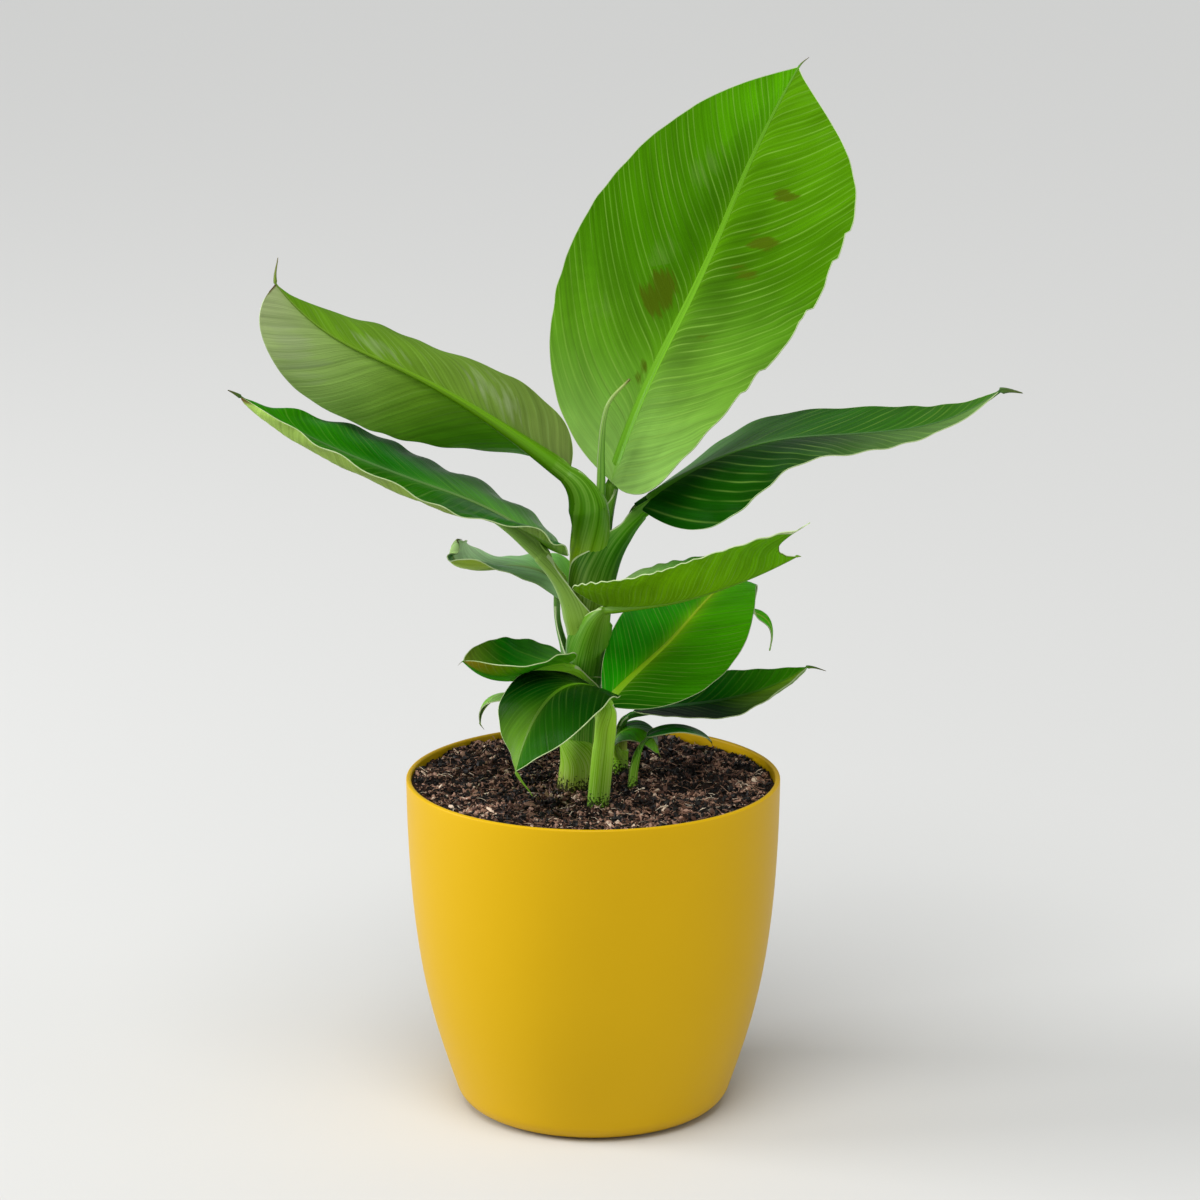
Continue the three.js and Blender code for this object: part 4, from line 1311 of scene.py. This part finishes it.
# %% Stalks
def stalk_piece(name, number):
    """A leaf's sheath, stalk, rib and thread as one closed tube."""
    low, rows = sheath_sections(name)
    high, s = rib_sections(name)
    sections = np.concatenate([low, high])
    columns = sections.shape[1]
    # Fibres keep their angle round the stalk, so x is measured as if the foot's radius went on.
    radii = np.concatenate([rows["radius"], rib_radius(name, s)])
    radii = np.concatenate([radii, np.full(len(sections) - len(radii), radii[-1])])
    chart = round_chart(sections)
    chart[..., 0] = chart[..., 0] * (radii[0] / radii)[:, None] + 37 * number
    piece = shaped_grid(f"{name}_stalk_and_rib", sections, chart)
    # Where each row stands along the colours: on the stem 0 to .2, then free to .6, on the rib to 1.
    levels = rows["centre"][:, 2]
    in_stem = 0.2 * (levels - levels[0]) / max(SHEATHS[name]["leaves"] - levels[0], 1)
    place = np.where(rows["t"] <= 0, in_stem, 0.2 + 0.4 * rows["t"])
    place = np.concatenate([place, 0.6 + 0.4 * s])
    threads = len(sections) - len(place)
    place = np.concatenate([place, np.ones(threads)])
    # These greens carry painted light and shade as well as the stalk's own colour.
    greens = colour_line(GREENS_WITH_PAINTED_LIGHT[name]["stalk"], place)
    heights = sections[..., 2].mean(1)
    streaky = np.clip(0.22 + 0.7 * (1 - smooth(heights, 195, 250)), 0, 1) * (place < 0.62)
    dry = np.concatenate([np.zeros(len(place) - threads), np.linspace(0.3, 1, threads)])
    dry *= TAILS.get(name, (1, 1))[1]
    ones = np.ones((1, columns))
    give_values(piece, "green", np.repeat(greens[:, None], columns, 1))
    give_values(piece, "streaky", streaky[:, None] * ones)
    give_values(piece, "soiled", 1 - smooth(sections[..., 2], SOIL_LEVEL, SOILED_TO))
    give_values(piece, "dry", dry[:, None] * ones)
    slots = np.zeros((len(sections) - 1, columns - 1), int)
    gutter = len(low) - 3
    first = int(np.argmax(heights > PALE_ABOVE))
    for margin in (0, ARC_POINTS - 2, ARC_POINTS - 1, columns - 2):
        slots[first:gutter, margin] = 1
    set_slots(piece, slots)
    close_tube(piece)
    return hand_over(piece, "leaf_stalk", [stalk_skin, pale_margin], f"{name}_stalk", sharp=50)


for number, name in enumerate(SHEATHS):
    stalk = stalk_piece(name, number)
    print(stalk.name, len(stalk.data.polygons), "faces")

# %% [markdown]
# ## Material of the blade
#
# A blade's two faces differ, so each has its own material. The veins leave the rib at a steep
# angle and bend towards the tip. The chart follows them: its x stays the same along a vein. Fine
# veins lie about a millimetre apart, a stronger pale one every three to nine millimetres, and the
# surface between them is slightly corrugated, which draws the light out into streaks. Waxy cuticle
# gives the upper face a sheen like satin, and the underside a duller bloom.

# %% Blade materials
# The usual distance between strong veins. A leaf with another pitch has its chart drawn out to suit.
VEIN_PITCH = 6.5


def blade_material(name, attribute, vein_colour, bloom_colour, roughness, relief):
    """The skin of one face of the blades."""
    material, tree, shader = new_material(name)
    chart = add_node(tree, "ShaderNodeUVMap").outputs["UV"]
    # The green on the points carries painted light and shade as well as the leaf's own colour.
    green_with_painted_light = add_node(tree, "ShaderNodeAttribute", {"attribute_name": attribute}).outputs["Color"]
    stain = add_node(tree, "ShaderNodeAttribute", {"attribute_name": "stain"}).outputs["Fac"]
    dryness = add_node(tree, "ShaderNodeAttribute", {"attribute_name": "dry"}).outputs["Fac"]
    # Streaks 3 mm wide and 120 mm long, and fine ones of 0.8 mm by 50 mm.
    along_veins = add_node(tree, "ShaderNodeMapping", vector=chart, scale=(330, 8, 1))
    streak = add_node(tree, "ShaderNodeTexNoise", vector=along_veins.outputs["Vector"], scale=1.0, detail=3.0)
    fine_veins = add_node(tree, "ShaderNodeMapping", vector=chart, scale=(1250, 20, 1))
    fine = add_node(tree, "ShaderNodeTexNoise", vector=fine_veins.outputs["Vector"], scale=1.0, detail=1.0)
    # A wave's bands lie 2 pi / 20 of a unit apart at scale 1, so this scale puts them at the pitch.
    wave = add_node(tree, "ShaderNodeTexWave", {"bands_direction": "X"}, vector=chart,
                    scale=2 * math.pi / (20 * VEIN_PITCH * MM), distortion=0.6, detail=1.0, detail_scale=0.4)
    sharp_wave = add_node(tree, "ShaderNodeMath", {"operation": "POWER"},
                          input_0=wave.outputs["Fac"], input_1=14.0)
    tone = add_node(tree, "ShaderNodeMapRange", value=streak.outputs["Fac"],
                    from_min=0.3, from_max=0.7, to_min=0.84, to_max=1.16)
    fine_tone = add_node(tree, "ShaderNodeMapRange", value=fine.outputs["Fac"],
                         from_min=0.3, from_max=0.7, to_min=0.93, to_max=1.07)
    # A slow unevenness of the green, in patches of 30 mm.
    slow = add_node(tree, "ShaderNodeTexNoise", vector=chart, scale=33.0, detail=2.0)
    slow_tone = add_node(tree, "ShaderNodeMapRange", value=slow.outputs["Fac"],
                         from_min=0.3, from_max=0.7, to_min=0.84, to_max=1.16)
    streaks = add_node(tree, "ShaderNodeMath", {"operation": "MULTIPLY"},
                       input_0=tone.outputs["Result"], input_1=fine_tone.outputs["Result"])
    both = add_node(tree, "ShaderNodeMath", {"operation": "MULTIPLY"},
                    input_0=streaks.outputs["Value"], input_1=slow_tone.outputs["Result"])
    toned = add_node(tree, "ShaderNodeMix", {"data_type": "RGBA", "blend_type": "MULTIPLY"}, input_0=1.0,
                     input_6=green_with_painted_light, input_7=both.outputs["Value"])
    veins = add_node(tree, "ShaderNodeAttribute", {"attribute_name": "veins"}).outputs["Fac"]
    # Some veins stand out over 25 mm, others hardly at all.
    uneven = add_node(tree, "ShaderNodeMapping", vector=chart, scale=(110, 40, 1))
    strength = add_node(tree, "ShaderNodeTexNoise", vector=uneven.outputs["Vector"], scale=1.0, detail=1.0)
    strong = add_node(tree, "ShaderNodeMapRange", value=strength.outputs["Fac"],
                      from_min=0.35, from_max=0.7, to_min=0.1, to_max=2.2)
    vein_share = add_node(tree, "ShaderNodeMath", {"operation": "MULTIPLY"},
                          input_0=strong.outputs["Result"], input_1=veins)
    share = add_node(tree, "ShaderNodeMath", {"operation": "MULTIPLY"},
                     input_0=sharp_wave.outputs["Value"], input_1=vein_share.outputs["Value"])
    veined = add_node(tree, "ShaderNodeMix", {"data_type": "RGBA"}, input_0=share.outputs["Value"],
                      input_6=toned.outputs[2], input_7=linear(vein_colour))
    # Stains follow the veins too: patches of 5 mm by 24 mm where the attribute lets them show.
    patches = add_node(tree, "ShaderNodeMapping", vector=chart, scale=(190, 42, 1))
    patch = add_node(tree, "ShaderNodeTexNoise", vector=patches.outputs["Vector"], scale=1.0, detail=4.0)
    reach = add_node(tree, "ShaderNodeMath", {"operation": "ADD"},
                     input_0=patch.outputs["Fac"], input_1=stain)
    shown = add_node(tree, "ShaderNodeMapRange", value=reach.outputs["Value"],
                     from_min=0.98, from_max=1.12, to_min=0.0, to_max=0.85)
    stained = add_node(tree, "ShaderNodeMix", {"data_type": "RGBA"}, input_0=shown.outputs["Result"],
                       input_6=veined.outputs[2], input_7=linear("#475808"))
    # Where the stain is less than nothing a dull grey bloom lies instead.
    dull = add_node(tree, "ShaderNodeMath", {"operation": "SUBTRACT"},
                    input_0=patch.outputs["Fac"], input_1=stain)
    bloom = add_node(tree, "ShaderNodeMapRange", value=dull.outputs["Value"],
                     from_min=0.86, from_max=1.12, to_min=0.0, to_max=0.4)
    bloomed = add_node(tree, "ShaderNodeMix", {"data_type": "RGBA"}, input_0=bloom.outputs["Result"],
                       input_6=stained.outputs[2], input_7=linear(bloom_colour))
    dried = add_node(tree, "ShaderNodeMix", {"data_type": "RGBA"}, input_0=dryness,
                     input_6=bloomed.outputs[2], input_7=linear("#4f3a1c"))
    tree.links.new(dried.outputs[2], shader.inputs["Base Color"])
    height = add_node(tree, "ShaderNodeMath", {"operation": "MULTIPLY_ADD"},
                      input_0=streak.outputs["Fac"], input_1=2.0, input_2=fine.outputs["Fac"])
    bump = add_node(tree, "ShaderNodeBump", strength=relief, distance=0.0004, height=height.outputs["Value"])
    tree.links.new(bump.outputs["Normal"], shader.inputs["Normal"])
    shader.inputs["Roughness"].default_value = roughness
    shader.inputs["IOR"].default_value = 1.33
    shader.inputs["Specular IOR Level"].default_value = 0.04
    return material


upper_face = blade_material("banana_leaf_upper_face", "above", "#8cb44c", "#6a8c3c", 0.28, 0.4)
lower_face = blade_material("banana_leaf_underside", "below", "#9cba6a", "#a0ac86", 0.5, 0.4)
print("blade materials done")

# %% [markdown]
# ## Blades
#
# Each blade is one grid: rows across the leaf, and columns along it that lie closer at the rib.
# Its relief is real: a corrugation along the veins, waves in the margins where the leaf has them,
# and small tears. Solidify then gives it its thickness, its underside and its pale rim. The blade is
# drawn half a millimetre thick, a little more than the real one, so that its rim catches the light.

# %% Ways of each blade
# Waves are amplitude and length in mm; tears are a place along the leaf and a depth in mm. Stains are a half
# (-1 left, 1 right), a place along and across, a size along and across, and a strength, and are a grey bloom
# where it is negative. So are the darker patches and painted sheen: a positive strength darkens the green in
# a patch, a negative one brightens it as a painted sheen.
# Veins is how strongly they show, and slants how far they lean in each half. A tongue is how wide a
# narrow tip stays, and a fork how wide a half stays to its split end, both in mm.
WAYS = {
    "top_leaf": {
        "left_wave": (0.5, 34), "right_wave": (0.8, 21), "pitch": 5.5, "veins": 0.22, "slants": (1, 0.45),
        "right_tears": [(0.66, 2.6), (0.6, 2.2), (0.5, 3.2), (0.47, 2.2), (0.36, 2.4), (0.3, 1.8)],
        "stains": [(-1, 0.41, 0.24, 0.09, 0.22, 0.75), (-1, 0.25, 0.1, 0.05, 0.1, 0.62),
                   (-1, 0.71, 0.38, 0.09, 0.25, -0.52), (-1, 0.33, 0.62, 0.05, 0.2, -0.5),
                   (-1, 0.5, 0.34, 0.08, 0.2, -0.5), (1, 0.6, 0.38, 0.03, 0.22, 0.78),
                   (1, 0.71, 0.42, 0.022, 0.2, 0.68), (1, 0.53, 0.33, 0.03, 0.22, 0.6),
                   (1, 0.36, 0.3, 0.03, 0.2, 0.54)],
        "darker_patches_and_painted_sheen": [(1, 0.5, 0.22, 0.14, 0.16, 0.35), (-1, 0.66, 0.15, 0.16, 0.18, 0.35),
                   (1, 0.3, 0.2, 0.08, 0.2, 0.3), (-1, 0.4, 0.2, 0.12, 0.2, 0.3),
                   (1, 0.45, 0.75, 0.2, 0.15, -0.12), (-1, 0.85, 0.6, 0.1, 0.3, -0.15)]},
    "upper_left_leaf": {
        "left_wave": (0.8, 30), "right_wave": (0.7, 26),
        "stains": [(-1, 0.3, 0.45, 0.16, 0.5, -0.5), (-1, 0.66, 0.25, 0.2, 0.3, -0.45),
                   (1, 0.85, 0.6, 0.14, 0.5, -0.6)],
        "darker_patches_and_painted_sheen": [(1, 0.45, 0.2, 0.3, 0.2, 0.15), (-1, 0.15, 0.5, 0.1, 0.6, 0.12)]},
    "middle_left_leaf": {"left_wave": (2.2, 25), "right_wave": (2.4, 27)},
    "rear_left_leaf": {"left_wave": (0.7, 17), "right_wave": (0.9, 15)},
    "right_leaf": {
        "left_wave": (0.6, 32), "right_wave": (0.8, 24), "pitch": 9, "veins": 0.16,
        # Its brighter patches are painted sheen near the fold.
        "darker_patches_and_painted_sheen": [(-1, 0.2, 0.3, 0.1, 0.3, -0.4), (1, 0.12, 0.5, 0.1, 0.5, -0.25),
                   (1, 0.45, 0.2, 0.2, 0.3, 0.3)]},
    "front_right_leaf": {"left_wave": (0.8, 12), "right_wave": (0.9, 8), "pitch": 3.4, "right_fork": 18.5},
    "lower_left_leaf": {"left_wave": (0.6, 17), "right_wave": (0.8, 15)},
    "round_sucker_leaf": {"left_wave": (0.4, 25), "right_wave": (0.5, 30), "veins": 0.3, "pitch": 4,
                          "tongue": 3.8},
    "hanging_sucker_leaf": {"left_wave": (1.2, 24), "right_wave": (0.8, 22), "veins": 0.04, "tongue": 1.2},
    "long_sucker_leaf": {"left_wave": (0.5, 19), "right_wave": (0.5, 17)},
}
print("leaves with ways of their own:", list(WAYS))

# %% Lines along a leaf
BASE_ROUNDING = 0.45


def random_line(x, spacing, seed):
    """A smooth random line over x, between about -1 and 1, with a bend every spacing."""
    steps = np.random.default_rng(seed + 100).uniform(-1, 1, int(np.ptp(x) / spacing) + 4)
    place = (x - np.min(x)) / spacing
    cell = np.clip(place.astype(int), 0, len(steps) - 2)
    t = smooth(place - cell, 0, 1)
    return steps[cell] * (1 - t) + steps[cell + 1] * t


def torn(s, tears):
    """How much narrower tears make a half at s: each drops at once and recovers towards the base."""
    loss = np.zeros_like(s)
    for place, depth in tears:
        loss = np.maximum(loss, depth * np.clip(1 - (place - s) / 0.05, 0, 1) * (s <= place))
    return loss


def half_width(name, key, s, seed):
    """The width in mm of one half of a blade at shares of its length."""
    leaf, ways = LEAVES[name], WAYS.get(name, {})
    # A lobe's base is rounded off, and the margin is never quite even.
    rounding = 1 - BASE_ROUNDING * np.exp(-s / 0.02)
    unevenness = 1 + 0.008 * random_line(s * leaf["length"], 9, seed)
    width = leaf["half_width"] * outline(leaf[key], s) * rounding * unevenness
    width = np.maximum(width - torn(s, ways.get(f"{key}_tears", [])), 0.35)
    width = np.maximum(width, ways.get("tongue", 0) * np.clip((1 - s) / 0.13, 0, 1) ** 0.7)
    return np.maximum(width, ways.get(f"{key}_fork", 0) * smooth(s, 0.5, 0.8))


def margin_wave(name, key, s, seed):
    """How far a half's margin swings up and down at shares of the leaf's length, in mm."""
    amplitude, length = WAYS.get(name, {}).get(f"{key}_wave", (0.25, 20))
    run = s * LEAVES[name]["length"]
    phase = 2 * math.pi * run / length + 2.2 * random_line(run, length * 1.6, seed[0])
    swing = amplitude * np.sin(phase) * (0.65 + 0.35 * random_line(run, length * 1.2, seed[1]))
    return swing * smooth(s, 0.02, 0.15) * (1 - smooth(s, 0.9, 1))


print("a tear 3 mm deep at half way:", torn(np.array([0.44, 0.47, 0.5, 0.53]), [(0.5, 3)]).round(1))

# %% Blade surface
COLUMNS = 24
ROW_STEP = 1.25
MARGIN = 0.35
VEIN_SLANT = 33
VEIN_BOW = 0.005
CORRUGATION = 0.17
# A split tip: shares of the way across, and how far forward each lies, against the fork's width.
FORK = ([0, 0.2, 0.5, 0.75, 0.87, 0.94, 1], [0, -0.22, -0.3, -0.15, 0.1, 0.5, 1.25])


def half_surface(name, key, sign, s, seed):
    """One half of a blade as a grid: points, shares across, mm from the rib, the wave's lift and the side."""
    leaf = LEAVES[name]
    points, along, across, up = rib_frame(leaf, s)
    width = half_width(name, key, s, seed + sign)
    edge = np.minimum(MARGIN / width, 0.4)[:, None]
    inner = (np.linspace(0, 1, COLUMNS) ** 1.15)[None] * (1 - edge)
    v = np.concatenate([inner, np.ones((len(s), 1))], 1)
    out = v * width[:, None]
    sideways, upward = across_half(leaf[key], s[:, None], out, width[:, None])
    forward = width[:, None] * eased(leaf["sweep"], s)[:, None] * v ** 1.5
    fork = WAYS.get(name, {}).get(f"{key}_fork", 0)
    forward += fork * np.interp(v, *FORK) * np.clip(s * 5 - 4, 0, 1)[:, None]
    place = (points[:, None] + sign * sideways[..., None] * across[:, None]
             + upward[..., None] * up[:, None] + forward[..., None] * along[:, None])
    lift = margin_wave(name, key, s, (seed + 5 * sign, seed + 9 * sign))[:, None] * smooth(v, 0.35, 1.05)
    return place, v, out, lift, np.full_like(v, sign)


def blade_surface(name, seed):
    """Points of a blade, its chart along the veins, and each point's share along, side and share across."""
    leaf, ways = LEAVES[name], WAYS.get(name, {})
    x = np.linspace(0, 1, max(int(leaf["length"] / ROW_STEP), 48))
    s = x - 0.13 * np.sin(2 * math.pi * x)
    # The left half runs from its margin to the rib, where it leaves the shared column to the right.
    left = [part[:, :0:-1] for part in half_surface(name, "left", -1, s, seed)]
    right = half_surface(name, "right", 1, s, seed)
    place, v, out, lift, side = (np.concatenate(parts, 1) for parts in zip(left, right))
    slants = np.where(side < 0, *ways.get("slants", (1, 1)))
    lag = slants * out * math.tan(math.radians(VEIN_SLANT)) * (0.7 + 0.8 * s[:, None]) + VEIN_BOW * out ** 2
    lag += 7 * (1 - np.exp(-out / 4))
    vein = ((s * leaf["length"])[:, None] - lag) * VEIN_PITCH / ways.get("pitch", VEIN_PITCH)
    up = rib_frame(leaf, s)[3]
    normal = np.cross(np.gradient(place, axis=1), np.gradient(place, axis=0))
    flat = np.linalg.norm(normal, axis=-1, keepdims=True) < 1e-5
    normal = unit(np.where(flat, up[:, None], normal) + 1e-9)
    ripple = 0.6 * np.sin(2 * math.pi * vein / VEIN_PITCH) + random_line(vein, 3.4, seed + 20)
    lift = lift + CORRUGATION * ripple * smooth(out, 1.5, 8) * (1 - smooth(v, 0.9, 1))
    place = place + normal * lift[..., None]
    chart = np.stack([vein, out * side], -1)
    return place, chart, np.repeat(s[:, None], v.shape[1], 1), side, v


print("top leaf: a grid of", blade_surface("top_leaf", 1)[0].shape[:2], "points")

# %% Blades
# How much of the rib's green, with its painted light and shade, the blade takes on beside it.
RIB_TINT = 0.55


def blots(name, kind, s, side, v):
    """At each point of a blade, the strongest of its leaf's blots of one kind."""
    values = np.zeros_like(s)
    for half, along, across, long, wide, strength in WAYS.get(name, {}).get(kind, []):
        blot = strength * np.exp(-((s - along) / long) ** 2 - ((v - across) / wide) ** 2)
        blot = np.where(side == half, blot, 0)
        values = np.where(np.abs(blot) > np.abs(values), blot, values)
    return values


def blade_piece(name, seed):
    """A leaf's blade with its colours, its relief, its thickness and its pale rim."""
    place, chart, s, side, v = blade_surface(name, seed)
    chart = chart + np.array([0, 151.0 * seed])
    piece = shaped_grid(f"{name}_lamina", place, chart)
    colours = GREENS_WITH_PAINTED_LIGHT[name]
    rib_green_with_painted_light = colour_line(colours["stalk"][3:], s)
    for face in ("above", "below"):
        # Each face's greens carry painted light and shade as well as the leaf's own colour.
        left, right = half_lines(colours[face], s)
        green = np.where(side[..., None] < 0, left, right)
        near_rib = (RIB_TINT * np.exp(-v * LEAVES[name]["half_width"] / 3.0))[..., None]
        green = green * (1 - near_rib) + rib_green_with_painted_light * near_rib
        # Darker patches of green, and a painted sheen where the strength is negative.
        green[..., :3] *= 1 - blots(name, "darker_patches_and_painted_sheen", s, side, v)[..., None]
        give_values(piece, face, green)
    give_values(piece, "stain", blots(name, "stains", s, side, v))
    give_values(piece, "veins", np.full_like(s, WAYS.get(name, {}).get("veins", 0.1)))
    give_values(piece, "dry", smooth(s, 0.992, 1.0))
    slots = np.zeros((place.shape[0] - 1, place.shape[1] - 1), int)
    slots[:, [0, -1]] = 2
    set_slots(piece, slots)
    # Solidify keeps within the material slots there are, so they are filled first.
    materials = [upper_face, lower_face, pale_margin, pale_margin, pale_margin]
    give_materials(piece, materials)
    apply_modifier(piece, "SOLIDIFY", thickness=BLADE_THICKNESS * MM, offset=0.0, use_rim=True,
                   material_offset=1, material_offset_rim=2)
    return hand_over(piece, "leaf_blade", materials, f"{name}_blade", sharp=45)


for number, name in enumerate(LEAVES):
    blade = blade_piece(name, number + 1)
    print(blade.name, len(blade.data.polygons), "faces")


# %% [markdown]
# ## The hearts of the stems and the rolled leaf
#
# Inside the sheaths each stem has a soft core, hidden almost everywhere but needed so that no gap
# looks through. From the middle of the main stem stands the newest leaf, still rolled like a
# paper scroll. A cone would miss its overlapping edge, so it is a sheet rolled one and a half times.
# Both are rings round a line of points, so one function draws them.

# %% Hearts of the stems
HEART_GREEN = "#9fbf52"


def tube_frame(points):
    """Directions across a line of points, with no twist from one to the next."""
    along = unit(np.gradient(points, axis=0))
    side = np.array([1.0, 0, 0])
    sides = []
    for direction in along:
        side = unit(side - (side @ direction) * direction)
        sides.append(side)
    sides = np.array(sides)
    return sides, np.cross(along, sides)


def rings(line, radius, angle):
    """Points round a line at a radius and an angle, both given for each row and column."""
    side, other = tube_frame(line)
    round_it = np.cos(angle)[..., None] * side[:, None] + np.sin(angle)[..., None] * other[:, None]
    return line[:, None] + radius[..., None] * round_it


def heart_piece(stem_name):
    """The core of a stem inside its innermost sheath, as a closed tube that narrows to its top."""
    stem = STEMS[stem_name]
    foot, top = stem["points"][0][2], stem["points"][-1][2]
    heights = np.arange(foot, top - STEM_STEP, STEM_STEP)
    layers = 1 + layers_outside(sheaths_of(stem_name)[-1], heights)
    radius = np.maximum(stem_radius(stem, heights) - SHEATH_PITCH * layers - 0.4, 0.8)
    radius = radius * (1 - 0.6 * smooth(heights, top - 20, top))
    angle = np.linspace(0, 2 * math.pi, 25)[None]
    sections = rings(stem_middle(stem, heights), radius[:, None], angle)
    piece = shaped_grid(f"{stem_name}_heart", sections, np.stack(np.meshgrid(angle * 5, heights), -1))
    give_values(piece, "green", np.broadcast_to(linear(HEART_GREEN), (*sections.shape[:2], 4)))
    give_values(piece, "streaky", np.full(sections.shape[:2], 0.4))
    give_values(piece, "dry", np.zeros(sections.shape[:2]))
    close_tube(piece)
    return hand_over(piece, "stem", [stalk_skin], stem_name)


for stem_name in STEMS:
    print(heart_piece(stem_name).name)

# %% Rolled leaf
SCROLL_POINTS = [[4, -5, 369.5], [4.5, -6, 395], [6, -6.5, 414], [10, -6.5, 426], [21, -6, 438]]
SCROLL_RADII = [3.3, 2.4, 1.7, 1.2, 0.7]
SCROLL_GREENS = ["#5f9a24", "#6aa432", "#7cae46", "#9cc064", "#a8b860"]
SCROLL_ROWS = 120
SCROLL_COLUMNS = 46
SCROLL_ANGLE = 3 * math.pi
# Where its free edge lies at the foot, and how far that edge winds round it to the tip.
SCROLL_EDGE = 3.7
SCROLL_TWIST = 0.5


def rolled_leaf():
    """The newest leaf: a thin sheet rolled one and a half times round its line, pale at its edge."""
    share = np.linspace(0, 1, SCROLL_ROWS)
    line = catmull([[0, 0, 350], *SCROLL_POINTS], SCROLL_ROWS)
    radius = station([3.6, *SCROLL_RADII], share)
    angle = np.linspace(0, SCROLL_ANGLE, SCROLL_COLUMNS)
    inward = 1 - 0.16 * angle / math.pi
    turn = angle[None] + SCROLL_TWIST * share[:, None] + SCROLL_EDGE
    points = rings(line, radius[:, None] * inward[None], turn)
    piece = shaped_grid("rolled_leaf_scroll", points, np.stack(np.meshgrid(angle * 2.5, line[:, 2]), -1))
    greens = colour_line(SCROLL_GREENS, share)
    give_values(piece, "green", np.repeat(greens[:, None], SCROLL_COLUMNS, 1))
    give_values(piece, "streaky", np.full((SCROLL_ROWS, SCROLL_COLUMNS), 0.35))
    give_values(piece, "dry", np.repeat(smooth(share, 0.93, 1.0)[:, None] * 0.8, SCROLL_COLUMNS, 1))
    slots = np.zeros((SCROLL_ROWS - 1, SCROLL_COLUMNS - 1), int)
    slots[:, 0] = 1
    set_slots(piece, slots)
    apply_modifier(piece, "SOLIDIFY", thickness=0.35 * MM, offset=0.0)
    return hand_over(piece, "leaf_blade", [stalk_skin, pale_margin], "rolled_leaf", sharp=50)


print(rolled_leaf().name)

# %% [markdown]
# ## Floor, sizes and finish
#
# A wide matt floor carries the pot's shadow. At the end the visual model's box is measured against the
# imported one.

# %% Floor and finish
deselect_all()
bpy.ops.mesh.primitive_plane_add(size=30)
floor = bpy.context.object
floor.name = "pale_floor"
pale_paint, tree, shader = new_material("matt_pale_floor")
shader.inputs["Base Color"].default_value = linear("#cfcfcd")
shader.inputs["Roughness"].default_value = 0.9
floor.data.materials.append(pale_paint)
floor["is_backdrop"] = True

visual_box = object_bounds()
sizes = {"cad": [list(p) for p in cad_box], "visual": [list(p) for p in visual_box]}
growth = [(v - c) / MM for low, high in zip(sizes["cad"], sizes["visual"]) for c, v in zip(low, high)]
print("visual box against the CAD box, in mm:", [round(g, 1) for g in growth])
